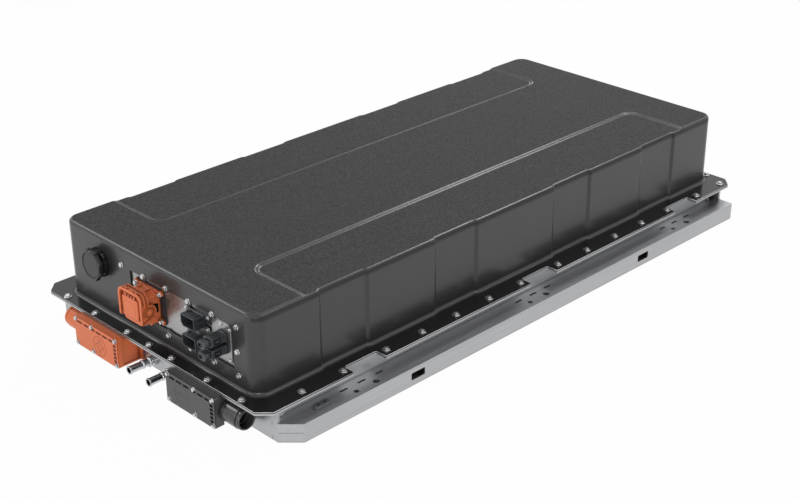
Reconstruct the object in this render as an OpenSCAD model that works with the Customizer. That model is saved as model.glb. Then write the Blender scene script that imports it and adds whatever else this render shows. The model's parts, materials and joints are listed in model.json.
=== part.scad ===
// Traction battery for an electric vehicle: an aluminium tray with side rails, a deep-drawn lid,
// a front connector panel, two high-voltage outlets, two coolant pipes and three cell modules.
// Millimetres. The origin is on the tray's underside, at its centre. X runs across the pack,
// Y along it towards the rear, Z up. The connectors are at the -Y end.

/* [Tray] */
// Inside width of the tray between its side walls
tray_in_w = 644; // [630:1:660]
// Height of the tray up to the top of its flange
tray_h = 73.7; // [66:0.1:90]
// Width of the hollow ledge outside each side wall
ledge_w = 54; // [50:1:70]
// Height of the ledge
ledge_h = 40.3; // [36:0.1:48]
// Thickness of the side wall above the ledge
side_wall_t = 11; // [9:0.5:13]
// Wall thickness of the extrusions
profile_t = 3.5; // [2.5:0.1:4.5]
// Depth of the front and rear beams
beam_d = 30; // [26:1:40]
// Chamfer at the front end of each ledge
ledge_chamfer = 35; // [20:1:36]
// Thickness of the gusset that closes the ledge at the front
gusset_t = 6; // [4:0.5:10]
// Thickness of the bottom plate
floor_t = 3; // [2:0.5:5]
// Thickness of the cold plate
cold_t = 14; // [12:0.5:18]
// Number of coolant channels across the cold plate
channel_n = 14; // [8:1:16]

/* [Bolted flange] */
// Length over the flange
flange_l = 1500; // [1490:1:1540]
// How far the flange stands out over the front and rear beams
flange_end_over = 40; // [36:1:50]
// How far the flange stands out over the side walls
flange_side_over = 28.5; // [26:0.5:32]
// Chamfer on each corner of the flange
flange_chamfer = 25; // [15:1:35]
// Thickness of the tray's flange
tray_flange_t = 4; // [3:0.5:5]
// Thickness of the seal between tray and lid
seal_t = 1.5; // [1:0.1:2.5]
// Width of the seal
seal_w = 10; // [8:0.5:10]
// Length of each notch in the long edges
notch_l = 86; // [60:1:90]
// Radius in the inner corners of a notch
notch_r = 6; // [3:0.5:10]
// Centres of the notches along the pack
notch_y = [-482, 34, 549];
// Flange screws along each long side
side_screw_y = [-642, -537, -422, -322, -223, -123, -24, 100, 200, 300, 399, 498, 616, 715];
// Flange screws across each end, either side of the centre one
end_screw_x = [73, 186, 288];
// Distance of the long rows of screws from the flange's edge
side_screw_inset = 17.5; // [15:0.5:19]
// Distance of the end rows of screws from the flange's edge
end_screw_inset = 10.5; // [9:0.5:13]
// Radius of a flange screw's thread
screw_r = 3; // [2.5:0.1:4]
// Radius of a flange screw's washer
screw_washer_r = 8; // [7:0.5:9]
// Height of a flange screw's head
screw_head_h = 5; // [4:0.5:7]

/* [Lid] */
// Height of the pack up to the top of the lid
pack_h = 247.8; // [244:0.1:290]
// How far the lid's end walls stand outside the beams
lid_end_over = 7; // [4:0.5:10]
// How far the lid's side walls stand inside the tray's
lid_side_inset = 14; // [12:0.5:16]
// Sheet thickness of the lid
lid_t = 2; // [1.5:0.1:2.4]
// Radius of the lid's upright corners
lid_corner_r = 30; // [24:1:45]
// Radius along the top edges
lid_top_r = 8; // [5:0.5:12]
// Radius where the walls turn into the flange
lid_base_r = 8; // [4:0.5:10]
// Width of each shallow bay in the long walls
bay_w = 122; // [90:1:140]
// Depth of the bays
bay_depth = 4; // [2:0.5:4.5]
// Length of the sloped sides of a bay
bay_ramp = 9; // [6:0.5:14]
// Centres of the inner and outer bays, from the middle of the pack
bay_y = [184.5, 496];
// Length of the lowered zone along each long side
shelf_l = 1194; // [1160:1:1240]
// Distance from the centre line to the lowered zones
shelf_x = 144; // [110:1:180]
// Depth of the lowered zones
shelf_depth = 3; // [1.5:0.1:4]
// Width of the slope round a lowered zone
shelf_ramp = 8; // [5:0.5:14]
// Corner radius of a lowered zone
shelf_r = 30; // [20:1:40]

/* [Rail fixings] */
// Centres of the fixing stations along the rails
station_y = [-502, 5, 517];
// Distance between the two fixing holes of a station
station_pitch = 52.5; // [48:0.5:60]
// Distance of the fixing holes from the rails' outer faces
station_inset = 16; // [14:0.5:18]
// Radius of the front hole of a station
station_small_r = 5.5; // [4:0.1:6.5]
// Radius of the rear hole of a station
station_large_r = 7; // [5:0.1:8]
// Length of the drain slots inboard of the holes
slot_l = 21; // [14:1:26]
// Width of the drain slots
slot_w = 5; // [3:0.5:6]
// Distance between drain slots
slot_pitch = 47; // [36:1:50]
// Length of the windows in the outer face of each rail
window_l = 38; // [24:1:50]
// Height of the windows
window_h = 16; // [10:0.5:20]
// Centres of the windows along the rails
window_y = [-376, 355];
// Length of the locating block on each ledge
locator_l = 37; // [30:1:44]
// Width of the locating block
locator_w = 15; // [12:0.5:16]
// Height of the locating block
locator_h = 6; // [4:0.5:9]
// Radius of the two dowel holes in a locating block
locator_hole_r = 2.8; // [2:0.1:3.2]

/* [Connector panel] */
// Distance between the columns of panel screws
panel_pitch = 72.2; // [70:0.2:74]
// Height of the lower row of panel screws
panel_row_low = 106; // [104:0.5:108]
// Height of the upper row of panel screws
panel_row_high = 209; // [208:0.5:212]
// Distance from the panel's last column of screws to the lid's side wall
panel_side = 52.5; // [48:0.5:60]
// Thickness of the connector plate
panel_t = 5; // [4:0.5:7]
// Thickness of the seal between plate and lid
panel_seal_t = 1.5; // [1:0.1:2]
// Margin of the plate outside its screws
panel_margin = 12; // [10:0.5:14]

/* [Service disconnect] */
// Distance to the left of the panel's centre
disc_left = 91; // [88:0.5:94]
// Centre height
disc_z = 160.5; // [158:0.5:163]
// Distance between its screws across
disc_pitch_x = 78; // [76:0.5:80]
// Distance between its screws in height
disc_pitch_z = 59; // [56:0.5:62]
// Width of the housing between the lever's legs
disc_body_w = 62; // [56:1:64]
// Height of the housing
disc_body_h = 70; // [64:1:70]
// How far the closed lever stands out from the connector plate
disc_depth = 51.5; // [50:0.5:56]
// Radius from the pivot to the outside of the lever's bar
lever_r = 43; // [42:0.5:46]
// Thickness of the lever's bar and legs
lever_t = 6; // [4.5:0.5:6.5]
// Radius of the round bosses at the lever's pivot
lever_boss_r = 16; // [12:0.5:18]
// Radius of the lever's pivot pins
lever_pin_r = 5; // [4:0.5:6]
// Length of the lever's legs below the pivot
lever_tail = 23; // [18:0.5:23]
// Depth of the pockets in the lever's sides
lever_pocket = 1.5; // [0.5:0.1:2]
// Width of the plug's face plate
plug_face_w = 51; // [44:1:56]
// Running clearance at the lever's pivot
pivot_gap = 0.08; // [0.04:0.01:0.1]
// Side clearance between lever and housing
lever_gap = 1; // [0.5:0.1:1.5]

/* [Low-voltage headers] */
// Distance of the headers to the right of the panel's centre
header_right = 62.5; // [60:0.5:65]
// Heights of the headers' centres
header_z = [183, 139.5];
// Width of a header's shroud
header_w = 41; // [36:0.5:46]
// Height of a header's shroud
header_h = 25.5; // [22:0.5:28]
// How far the shrouds stand out from the connector plate
header_depth = 28.5; // [22:0.5:34]
// Wall of the shrouds
header_t = 2; // [1.5:0.1:2.5]
// Chamfer on a shroud's lower left corner
header_chamfer = 7; // [4:0.5:9]
// Pins in each row of a header
pin_n = 8; // [4:1:9]

/* [Auxiliary plugs] */
// Distance of the plugs to the right of the panel's centre
aux_right = 139; // [136:0.5:141]
// Heights of the plugs' centres
aux_z = [176, 151];
// Width of a plug
aux_w = 24; // [20:0.5:26]
// Height of a plug
aux_h = 21; // [18:0.5:23]
// How far the plugs stand out from the connector plate
aux_depth = 57; // [50:0.5:64]

/* [Vent valve] */
// Position of the valve across the pack
vent_x = -184.5; // [-190:0.5:-178]
// Height of the valve's centre
vent_z = 188; // [182:0.5:192]
// Radius of the valve's cap
vent_r = 32; // [26:0.5:34]
// How far the valve stands out from the lid
vent_depth = 24; // [18:0.5:30]
// Radius of the valve's throat through the lid
vent_throat_r = 22; // [16:0.5:23]
// Number of grip lugs on the cap
vent_lugs = 8; // [6:1:12]

/* [High-voltage outlets] */
// Width of each outlet box
hv_w = 152; // [146:1:156]
// Height of each outlet box
hv_h = 68; // [64:0.5:68]
// Gap between a box and the tray flange above it
hv_top_gap = 0.5; // [0.3:0.1:1.5]
// How far the boxes stand out from the front beam
hv_depth = 57; // [54:0.5:64]
// Thickness of the boxes' covers
hv_cover_t = 5; // [4:0.5:7]
// Wall of the boxes
hv_t = 4; // [3:0.5:5]
// Inner edge of the positive box, from the centre line
hv_pos_x = 74; // [70:1:80]
// Inner edge of the negative box, from the centre line
hv_neg_x = 87; // [82:1:92]
// Radius of the cable glands
gland_r = 23.4; // [20:0.2:24]
// Length of the cable glands
gland_l = 52; // [44:0.5:60]
// Radius of the glands' cable bore
gland_bore_r = 17.5; // [12:0.1:18]
// Height of the glands' axis
gland_z = 35; // [33:0.5:37]

/* [Coolant pipes] */
// Positions of the inlet and the outlet across the pack
pipe_x = [-27, 38];
// Height of the pipes' axis
pipe_z = 22.5; // [20:0.5:26]
// Outer radius of the pipes
pipe_r = 8; // [6:0.1:9]
// Wall of the pipes
pipe_t = 1.5; // [1:0.1:2]
// How far the pipes stand out from the front beam
pipe_l = 65; // [54:0.5:80]
// Clearance round the pipes in the beam
pipe_gap = 0.3; // [0.1:0.05:0.6]

/* [Cells] */
// Thickness of a cell
cell_t = 71.5; // [68:0.1:72]
// Width of a cell
cell_w = 173.7; // [170:0.1:175]
// Height of a cell without its terminals
cell_h = 204; // [190:0.5:206]
// Gap between neighbouring cells
cell_gap = 1; // [0.5:0.1:1.2]
// Most cells side by side in a module
cell_n = 8; // [6:1:8]
// Most rows of cells in a module
row_n = 2; // [1:1:2]
// Modules along the pack
module_n = 3; // [1:1:3]
// Clearance between a module and the cross member beside it
module_gap = 4; // [2:0.5:6]
// Thickness of the cross members
cross_t = 20; // [14:1:24]
// Room for the electronics between the front beam and the first module
front_room = 214; // [210:1:240]
// Least room between the last cross member and the rear beam
rear_room = 16; // [10:1:30]
// Clearance between the modules' end plates and the side walls
side_room = 10; // [4:1:20]
// Thickness of the thermal pads under the cells
pad_t = 2; // [1:0.1:3]
// Thickness of the modules' end plates
end_plate_t = 9; // [6:0.5:9]

/* [Hidden] */
$fn = 48;

// Clearances and small sizes that several pieces share
hole_gap = 0.4;
thread_gap = 0.05;
slide_gap = 0.3;
over = 1;
beam_lap = 15;
wall_skin = 3;
slot_inset = 36;
slot_shift = 6;
window_z = 21;
window_r = 3;

// Plan and levels of the tray
tray_l = flange_l - 2 * flange_end_over;
flange_w = tray_in_w + 2 * (side_wall_t + flange_side_over);
lid_l = tray_l + 2 * lid_end_over;
lid_w = tray_in_w - 2 * lid_side_inset;
tray_in = tray_in_w / 2;
wall_out = tray_in + side_wall_t;
ledge_out = wall_out + ledge_w;
beam_end = tray_in + beam_lap;
tray_y = tray_l / 2;
beam_in_y = tray_y - beam_d;
flange_x = flange_w / 2;
flange_y = flange_l / 2;
flange_low = tray_h - tray_flange_t;
lid_low = tray_h + seal_t;
flange_top = lid_low + lid_t;
cold_top = floor_t + cold_t;
manifold_d = 40;
cold_y0 = -beam_in_y + manifold_d;
cold_y1 = beam_in_y - 10;
rib_x = beam_end + 2;
station_x = ledge_out - station_inset;
slot_x = ledge_out - slot_inset;
side_screw_x = flange_x - side_screw_inset;
side_points = [for (s = [-1, 1], y = side_screw_y)
    if (abs(y) <= flange_y - flange_chamfer - screw_washer_r - 2) [s * side_screw_x, y]];
end_points = [for (e = [-1, 1], x = concat([0], end_screw_x, -end_screw_x))
    [x, e * (flange_y - end_screw_inset)]];
flange_points = concat(side_points, end_points);

// Front wall of the lid and what is fixed on it
lid_y = lid_l / 2;
lid_in_y = lid_y - lid_t;
plate_front = -lid_in_y + panel_seal_t;
plate_back = plate_front + panel_t;
panel_screw_r = 3;
panel_head_r = 6;
panel_head_h = 4.5;
panel_nut_h = 5;
panel_mid_z = (panel_row_low + panel_row_high) / 2;
panel_x = lid_w / 2 - panel_side - 2.5 * panel_pitch;
disc_x = panel_x - disc_left;
header_x = panel_x + header_right;
aux_x = panel_x + aux_right;
panel_cols = [for (i = [-2.5:1:2.5]) panel_x + i * panel_pitch];
panel_points = concat([for (x = panel_cols, z = [panel_row_low, panel_row_high]) [x, z]],
    [[panel_cols[0], panel_mid_z], [panel_cols[5], panel_mid_z]]);
opening_left = panel_cols[0] + 26.5;
opening_right = panel_cols[5] - 12.5;
opening_low = panel_row_low + 10.5;
opening_high = panel_row_high - 2;
opening_chamfer = 8;
land_low_r = 13;
land_high_r = 9;

// Service disconnect
gasket_t = 2;
disc_flange_t = 5;
disc_flange_w = disc_pitch_x + 16;
disc_flange_h = disc_pitch_z + 19;
disc_screw_r = 2.5;
disc_head_r = 5.5;
disc_head_h = 5;
disc_front = plate_front - disc_depth;
disc_flange_y = plate_front - gasket_t - disc_flange_t;
lever_front = 19.5;
lever_back = 8;
pivot_y = disc_front + lever_front;
tower_front = pivot_y + 6.5;
tub_back = plate_front + 34;
tub_w = 56;
tub_h = 64;
tub_t = 3;
plug_face_t = 5;
plug_face_up = 3;
lever_in = disc_body_w / 2 + lever_gap;
lever_out = lever_in + lever_t;
pin_depth = lever_t;
lever_rim = 2.6;
lever_tip_r = 3;
lever_ridge_w = 3;
disc_fuse_r = 13;

// Low-voltage headers and auxiliary plugs
header_flange_w = 78;
header_flange_h = 33;
header_flange_t = 4;
header_screw_dx = 33;
header_screw_dz = 12;
small_screw_r = 2;
small_head_r = 4;
small_head_h = 3;
header_depth_in = 22;
pin_r = 0.8;
aux_plate_t = 3;
aux_plate_points = [for (p = [[-33, 124], [26, 124], [26, 198], [18, 205.5], [-12, 205.5], [-33, 190]])
    p + [aux_x, 0]];
aux_screw_points = [for (p = [[-5, 199], [19.5, 193], [-27, 130], [19.5, 130]]) p + [aux_x, 0]];
aux_back = plate_front - aux_plate_t;
aux_front = plate_front - aux_depth;

// Vent valve
vent_base_h = 8;
vent_seal_w = 3;
vent_seal_t = 1.2;
vent_throat_l = 18;
vent_nut_h = 6;
vent_cap_front = -lid_y - vent_depth;
vent_lug_h = 2.5;

// High-voltage outlets
hv_high = flange_low - hv_top_gap;
hv_low = hv_high - hv_h;
hv_front = -tray_y - hv_depth + hv_cover_t;
hv_step_h = 11;
hv_step_y = hv_front + 16;
hv_screw_r = 2.5;
hv_head_r = 5;
hv_head_h = 4.5;
hv_screw_edge = 7;
hv_mid_screw = 63;
hv_flange_t = 5;
hv_flange_w = 8;
hv_rib = 6.5;
hv_corner = 6;
gland_y = -tray_y - 25;
gland_spigot_r = 19;
terminal_r = 6;
terminal_z = 50;
terminal_x = 76;
bushing_r = 10;

// Cells and what holds them
module_y0 = -beam_in_y + front_room;
module_room = (beam_in_y - rear_room - module_y0) / module_n - 2 * module_gap - cross_t;
rows = max(1, min(row_n, floor((module_room + cell_gap) / (cell_w + cell_gap))));
cols_room = tray_in_w - 2 * (end_plate_t + side_room);
cols = min(cell_n, floor((cols_room + cell_gap) / (cell_t + cell_gap)));
module_l = rows * (cell_w + cell_gap) - cell_gap;
module_pitch = module_l + 2 * module_gap + cross_t;
module_half_w = (cols * (cell_t + cell_gap) - cell_gap) / 2;
cell_low = cold_top + pad_t;
cell_high = cell_low + cell_h;
terminal_pad_r = 8;
terminal_pad_h = 3;
terminal_inset = 34;
busbar_t = 2.5;
busbar_w = 20;
cover_h = 9;
cover_t = 2;
cross_high = 60;

// Helpers: a section drawn flat is run along an axis
module along_x(x0, x1) translate([x0, 0, 0]) rotate([90, 0, 90]) linear_extrude(x1 - x0) children();
module along_y(y0, y1) translate([0, y1, 0]) rotate([90, 0, 0]) linear_extrude(y1 - y0) children();
module along_z(z0, z1) translate([0, 0, z0]) linear_extrude(z1 - z0) children();
module rod_x(y, z, r, x0, x1) translate([x0, y, z]) rotate([0, 90, 0]) cylinder(r = r, h = x1 - x0);
module rod_y(x, z, r, y0, y1) translate([x, y1, z]) rotate([90, 0, 0]) cylinder(r = r, h = y1 - y0);
module block(low, high) translate(low) cube(high - low);

module round_rect(w, h, r) {
    square([w, h - 2 * r], center = true);
    square([w - 2 * r, h], center = true);
    for (x = [-1, 1], y = [-1, 1]) translate([x * (w / 2 - r), y * (h / 2 - r)]) circle(r);
}

// Hexagon by its width across the flats
module hexagon(flats) circle(d = flats / cos(30), $fn = 6);

// A screw that stands in -Y: washer head, hexagon and shank
module screw_y(x, y, z, r, head_r, head_h, shank) {
    rod_y(x, z, head_r, y - head_h * 0.3, y);
    translate([x, y, z]) rotate([90, 0, 0]) linear_extrude(head_h) hexagon(head_r * 1.5);
    rod_y(x, z, r, y - 0.5, y + shank);
}

// Bolted flange in plan: chamfered corners, and notches that give access to the rails' holes
module notch() {
    depth = flange_x - wall_out + over;
    translate([notch_r, -notch_l / 2]) square([depth - notch_r, notch_l]);
    translate([0, notch_r - notch_l / 2]) square([depth, notch_l - 2 * notch_r]);
    for (s = [-1, 1]) translate([notch_r, s * (notch_l / 2 - notch_r)]) circle(notch_r);
}
module flange_plan() {
    cx = flange_x - flange_chamfer;
    cy = flange_y - flange_chamfer;
    difference() {
        polygon([[flange_x, -cy], [flange_x, cy], [cx, flange_y], [-cx, flange_y],
            [-flange_x, cy], [-flange_x, -cy], [-cx, -flange_y], [cx, -flange_y]]);
        for (y = notch_y) {
            translate([wall_out, y]) notch();
            translate([-wall_out, y]) rotate(180) notch();
        }
    }
}
module flange_holes(r) for (p = flange_points) translate(p) circle(r);

// Lid: one closed loop of its plan holds [x, y, share of the lowered zone's depth]
arc_n = 8;
bay_stops = [for (c = [-bay_y[1], -bay_y[0], bay_y[0], bay_y[1]], e = [-1, 1], q = [-1, 1])
    [c + e * bay_w / 2 + q * bay_ramp / 2, e * q < 0 ? 1 : 0, 1]];
side_stops = concat([[-shelf_l / 2, 0, 0], [-shelf_l / 2 + shelf_ramp, 0, 1]], bay_stops,
    [[shelf_l / 2 - shelf_ramp, 0, 1], [shelf_l / 2, 0, 0]]);
stop_n = len(side_stops);
half_n = 2 * (arc_n + 1) + stop_n;
loop_n = 2 * half_n;
function corner(side, grow) = [for (i = [0:arc_n]) let (a = 90 * (i / arc_n + (side < 0 ? -1 : 0)))
    [lid_w / 2 - lid_corner_r + (lid_corner_r + grow) * cos(a),
     side * (lid_y - lid_corner_r) + (lid_corner_r + grow) * sin(a), 0]];
function half_loop(grow) = concat(corner(-1, grow),
    [for (s = side_stops) [lid_w / 2 + grow - bay_depth * s[1], s[0], s[2]]], corner(1, grow));
function turned(points) = [for (p = points) [-p[0], -p[1], p[2]]];
function lid_ring(grow, z, sink) = [for (p = concat(half_loop(grow), turned(half_loop(grow))))
    [p[0], p[1], z - sink * shelf_depth * p[2]]];
// The base fillet and the top fillet share their centres on both faces of the sheet
function base_ring(a, r) = lid_ring(lid_base_r - r * cos(a), flange_top + lid_base_r - r * sin(a), 0);
function top_ring(a, r) = lid_ring(-lid_top_r + r * cos(a), pack_h - lid_top_r + r * sin(a), 1);
function skin(base_r, top_r) = concat([for (a = [90:-30:0]) base_ring(a, base_r)],
    [for (a = [0:22.5:90]) top_ring(a, top_r)]);
skin_n = 9;
// Edge of a lowered zone: two rounded corners, r is shelf_r at the top and less at the bottom
shelf_angle_list = concat([for (a = [270:-15:180]) [a, -1]], [for (a = [180:-15:90]) [a, 1]]);
edge_n = len(shelf_angle_list);
function shelf_edge(r, z) = [for (q = shelf_angle_list)
    [shelf_x + shelf_r + r * cos(q[0]), q[1] * (shelf_l / 2 - shelf_r) + r * sin(q[0]), z]];
function flat(lists) = [for (l = lists) each l];
function edges(top) = concat(shelf_edge(shelf_r, top), shelf_edge(shelf_r - shelf_ramp, top - shelf_depth));
function skin_points(base_r, top_r, top) = concat(flat(skin(base_r, top_r)), edges(top), turned(edges(top)));
skin_size = skin_n * loop_n + 4 * edge_n;
// Faces of one skin, anticlockwise from outside: walls, then for each side the zone and its slope
top_row = (skin_n - 1) * loop_n;
function wall_faces() = [for (k = [0:skin_n - 2], i = [0:loop_n - 1]) let (j = (i + 1) % loop_n)
    [k * loop_n + i, k * loop_n + j, (k + 1) * loop_n + j, (k + 1) * loop_n + i]];
function stop_at(side, i) = top_row + side * half_n + arc_n + 1 + i;
function upper_at(side, j) = skin_n * loop_n + side * 2 * edge_n + j;
function lower_at(side, j) = upper_at(side, j) + edge_n;
function zone_faces(side) = concat(
    [concat([for (i = [1:stop_n - 2]) stop_at(side, i)], [for (j = [edge_n - 1:-1:0]) lower_at(side, j)])],
    [[stop_at(side, 0), stop_at(side, 1), lower_at(side, 0), upper_at(side, 0)]],
    [for (j = [0:edge_n - 2])
        [upper_at(side, j), lower_at(side, j), lower_at(side, j + 1), upper_at(side, j + 1)]],
    [[upper_at(side, edge_n - 1), lower_at(side, edge_n - 1), stop_at(side, stop_n - 2),
        stop_at(side, stop_n - 1)]]);
function arcs_from(side) = [for (i = [0:2 * arc_n + 1])
    top_row + (side * half_n + arc_n + 1 + stop_n + i) % loop_n];
middle_face = [concat([for (j = [0:edge_n - 1]) upper_at(0, j)], [stop_at(0, stop_n - 1)], arcs_from(0),
    [stop_at(1, 0)], [for (j = [0:edge_n - 1]) upper_at(1, j)], [stop_at(1, stop_n - 1)], arcs_from(1),
    [stop_at(0, 0)])];
function skin_faces() = concat(wall_faces(), zone_faces(0), zone_faces(1), middle_face);
function shifted(faces, by) = [for (f = faces) [for (v = f) v + by]];
function reversed(faces) = [for (f = faces) [for (i = [len(f) - 1:-1:0]) f[i]]];
rim_faces = [for (i = [0:loop_n - 1]) let (j = (i + 1) % loop_n) [i, j, skin_size + j, skin_size + i]];
module lid_shell() polyhedron(
    points = concat(skin_points(lid_base_r, lid_top_r, pack_h),
        skin_points(lid_base_r + lid_t, lid_top_r - lid_t, pack_h - lid_t)),
    faces = concat(reversed(skin_faces()), shifted(skin_faces(), skin_size), rim_faces));

// Small sizes of the inner pieces and of the plugs
insert_r = 5;
seal_x = wall_out - 1;
seal_y = flange_y - end_screw_inset - screw_r - 1.5;
hex_flats = 10;
washer_t = 1.2;
dowel_pitch = 15.5;
locator_x = ledge_out - 25.5;
locator_y = -tray_y + 101;
plate_w = 5 * panel_pitch + 2 * panel_margin;
plate_h = panel_row_high - panel_row_low + 2 * panel_margin;
carrier_back = plate_front + 13;
fuse_y = plate_front - 2;
blade_t = 2.5;
jaw_t = 2;
jaw_z = tub_h / 2 - tub_t - slide_gap - 7;
jaw_back = plate_front + 42;
aux_body_front = aux_front + 9;
aux_barrel_r = 8;
aux_barrel_back = plate_back + 12;
nose_w = 22;
nose_h = 16;
header_tail_w = header_w - 4;
header_tail_h = header_h - 4;
header_back = plate_front + header_depth_in;
pin_pitch = 4;
vent_base_r = 28;
vent_lobe_r = 7;
vent_neck_r = 25;
vent_bore_r = 17;
vent_base_back = -lid_y - vent_seal_t;
vent_base_front = vent_base_back - vent_base_h;
vent_neck_front = vent_base_front - 8;
vent_rim_r = 27;
hv_mid_z = (hv_low + hv_high) / 2;
hv_screw_z = [hv_low + hv_screw_edge - 1, hv_high - hv_screw_edge + 1];
hv_screw_x = [hv_w - hv_screw_edge, hv_w - hv_mid_screw, hv_screw_edge];
hv_face_t = 1.5;
hv_plate_front = hv_front - hv_cover_t + hv_face_t;
hv_step_x = hv_w - 44;
stud_back = -beam_in_y + 9;
bar_half = 5;
bar_y = stud_back + bar_half;
bar_mid_z = 90;
bar_top_z = cell_high + cover_h + bar_half + 0.3;
contactor_y = -beam_in_y + 120;
contactor_r = 26;
contactor_term = 14;
main_fuse_r = 14;
fuse_cap_r = 15.5;
front_bar_y = module_y0 - fuse_cap_r - 2;
first_cell_x = -module_half_w + cell_t / 2;
pos_end_y = terminal_y(0, 0, true);
neg_end_y = terminal_y(module_n - 1, rows - 1, rows == 1);
function module_y(k) = module_y0 + k * module_pitch;
function cell_x(i) = first_cell_x + i * (cell_t + cell_gap);
function terminal_y(k, row, back) = module_y(k) + row * (cell_w + cell_gap)
    + (back ? cell_w - terminal_inset : terminal_inset);

module obround(l, w) {
    square([l - w, w], center = true);
    for (s = [-1, 1]) translate([s * (l - w) / 2, 0]) circle(w / 2);
}

// Lid
module lid_base() polygon([for (p = lid_ring(lid_base_r - 0.5, 0, 0)) [p[0], p[1]]]);
module panel_opening() difference() {
    polygon([[opening_left, opening_low], [opening_right, opening_low],
        [opening_right, opening_high - opening_chamfer], [opening_right - opening_chamfer, opening_high],
        [opening_left, opening_high]]);
    for (i = [1:4]) {
        translate([panel_cols[i], panel_row_low]) circle(land_low_r);
        translate([panel_cols[i], panel_row_high]) circle(land_high_r);
    }
}
module lid() color([0.12, 0.12, 0.13]) difference() {
    union() {
        lid_shell();
        along_z(lid_low, flange_top) difference() {
            flange_plan();
            flange_holes(screw_r + hole_gap, $fn = 16);
            lid_base();
        }
    }
    along_y(-lid_y - over, -lid_in_y + over) panel_opening();
    for (p = panel_points)
        rod_y(p[0], p[1], panel_screw_r + hole_gap, -lid_y - over, -lid_in_y + over, $fn = 16);
    rod_y(vent_x, vent_z, vent_throat_r, -lid_y - over, -lid_in_y + over);
}
module lid_seal() color([0.05, 0.05, 0.05]) along_z(tray_h, lid_low) difference() {
    round_rect(2 * seal_x, 2 * seal_y, lid_corner_r);
    round_rect(2 * (seal_x - seal_w), 2 * (seal_y - seal_w), lid_corner_r - seal_w);
}

// Tray: two side rails, two beams and the floor
module insert_holes() flange_holes(insert_r + thread_gap);
module slots() for (y = station_y, i = [-1:1])
    translate([slot_x, y + slot_shift + i * slot_pitch]) rotate(90) obround(slot_l, slot_w);
module station_holes(grow) for (y = station_y) {
    translate([station_x, y - station_pitch / 2]) circle(station_small_r + grow);
    translate([station_x, y + station_pitch / 2]) circle(station_large_r + grow);
}
module side_rail() difference() {
    union() {
        difference() {
            union() {
                along_y(-tray_y, tray_y) translate([beam_end, 0]) square([ledge_out - beam_end, ledge_h]);
                along_y(-beam_in_y, beam_in_y) {
                    translate([tray_in, 0]) square([beam_end - tray_in, ledge_h]);
                    translate([tray_in, 0]) square([side_wall_t, tray_h]);
                }
            }
            block([tray_in + profile_t, -beam_in_y + profile_t, profile_t],
                [rib_x, beam_in_y - profile_t, ledge_h - profile_t]);
            block([rib_x + profile_t, -tray_y + ledge_chamfer + profile_t, profile_t],
                [ledge_out - profile_t, tray_y - profile_t, ledge_h - profile_t]);
            block([tray_in + wall_skin, -beam_in_y + profile_t, ledge_h + profile_t],
                [wall_out - wall_skin, beam_in_y - profile_t, flange_low - profile_t]);
        }
        along_z(0, ledge_h) station_holes(profile_t);
        along_z(flange_low, tray_h) intersection() {
            flange_plan();
            translate([tray_in, -beam_in_y]) square([flange_x - tray_in, 2 * beam_in_y]);
        }
    }
    along_z(-over, ledge_h + over) {
        station_holes(0);
        polygon([[ledge_out - ledge_chamfer, -tray_y], [ledge_out, -tray_y + ledge_chamfer],
            [ledge_out + over, -tray_y + ledge_chamfer], [ledge_out + over, -tray_y - over],
            [ledge_out - ledge_chamfer, -tray_y - over]]);
    }
    along_z(ledge_h - profile_t - over, ledge_h + over) slots();
    along_z(flange_low - over, tray_h + over) insert_holes();
    for (y = window_y) along_x(ledge_out - profile_t - over, ledge_out + over)
        translate([y, window_z]) round_rect(window_l, window_h, window_r);
}
module side_rail_right() color([0.75, 0.76, 0.78]) side_rail();
module side_rail_left() color([0.75, 0.76, 0.78]) mirror([1, 0, 0]) side_rail();

// A beam stands at the front; the rear one is the same piece without the openings
module beam() {
    along_x(-beam_end, beam_end) difference() {
        translate([-tray_y, 0]) square([beam_d, flange_low]);
        for (z = [0, 1]) translate([-tray_y + profile_t, profile_t + z * (flange_low - profile_t) / 2])
            square([beam_d - 2 * profile_t, (flange_low - 3 * profile_t) / 2]);
    }
    along_z(flange_low, tray_h) intersection() {
        flange_plan();
        translate([-flange_x, -flange_y]) square([flange_w, flange_y - beam_in_y]);
    }
    for (s = [0, 1]) mirror([s, 0, 0]) block([beam_end - over, -tray_y, ledge_h],
        [ledge_out - ledge_chamfer, -tray_y + gusset_t, flange_low]);
}
module front_beam() color([0.75, 0.76, 0.78]) difference() {
    beam();
    along_z(flange_low - over, tray_h + over) insert_holes();
    for (x = pipe_x) rod_y(x, pipe_z, pipe_r + pipe_gap, -tray_y - over, -beam_in_y + over);
    for (x = [hv_neg_x + terminal_x, -hv_pos_x - terminal_x])
        rod_y(x, terminal_z, bushing_r + slide_gap, -tray_y - over, -beam_in_y + over);
}
module rear_beam() color([0.75, 0.76, 0.78]) difference() {
    mirror([0, 1, 0]) beam();
    along_z(flange_low - over, tray_h + over) insert_holes();
}
module floor_plate() color([0.7, 0.71, 0.73])
    block([-tray_in, -beam_in_y, 0], [tray_in, beam_in_y, floor_t]);
module cold_plate() color([0.78, 0.79, 0.8]) difference() {
    block([-tray_in, cold_y0, floor_t], [tray_in, cold_y1, cold_top]);
    pitch = (tray_in_w - 6) / channel_n;
    for (i = [0:channel_n - 1]) translate([-tray_in + 6 + i * pitch, cold_y0 - over, floor_t + 3])
        cube([pitch - 6, cold_y1 - cold_y0 - 24, cold_t - 6]);
    block([-tray_in + 6, cold_y1 - 30, floor_t + 3], [tray_in - 6, cold_y1 - 6, cold_top - 3]);
}
module cross_members() color([0.72, 0.73, 0.75]) for (k = [0:module_n])
    translate([0, module_y(k) - module_gap - cross_t, cold_top]) along_x(-tray_in, tray_in) difference() {
        square([cross_t, cross_high - cold_top]);
        translate([3, 3]) square([cross_t - 6, cross_high - cold_top - 6]);
    }
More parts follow.
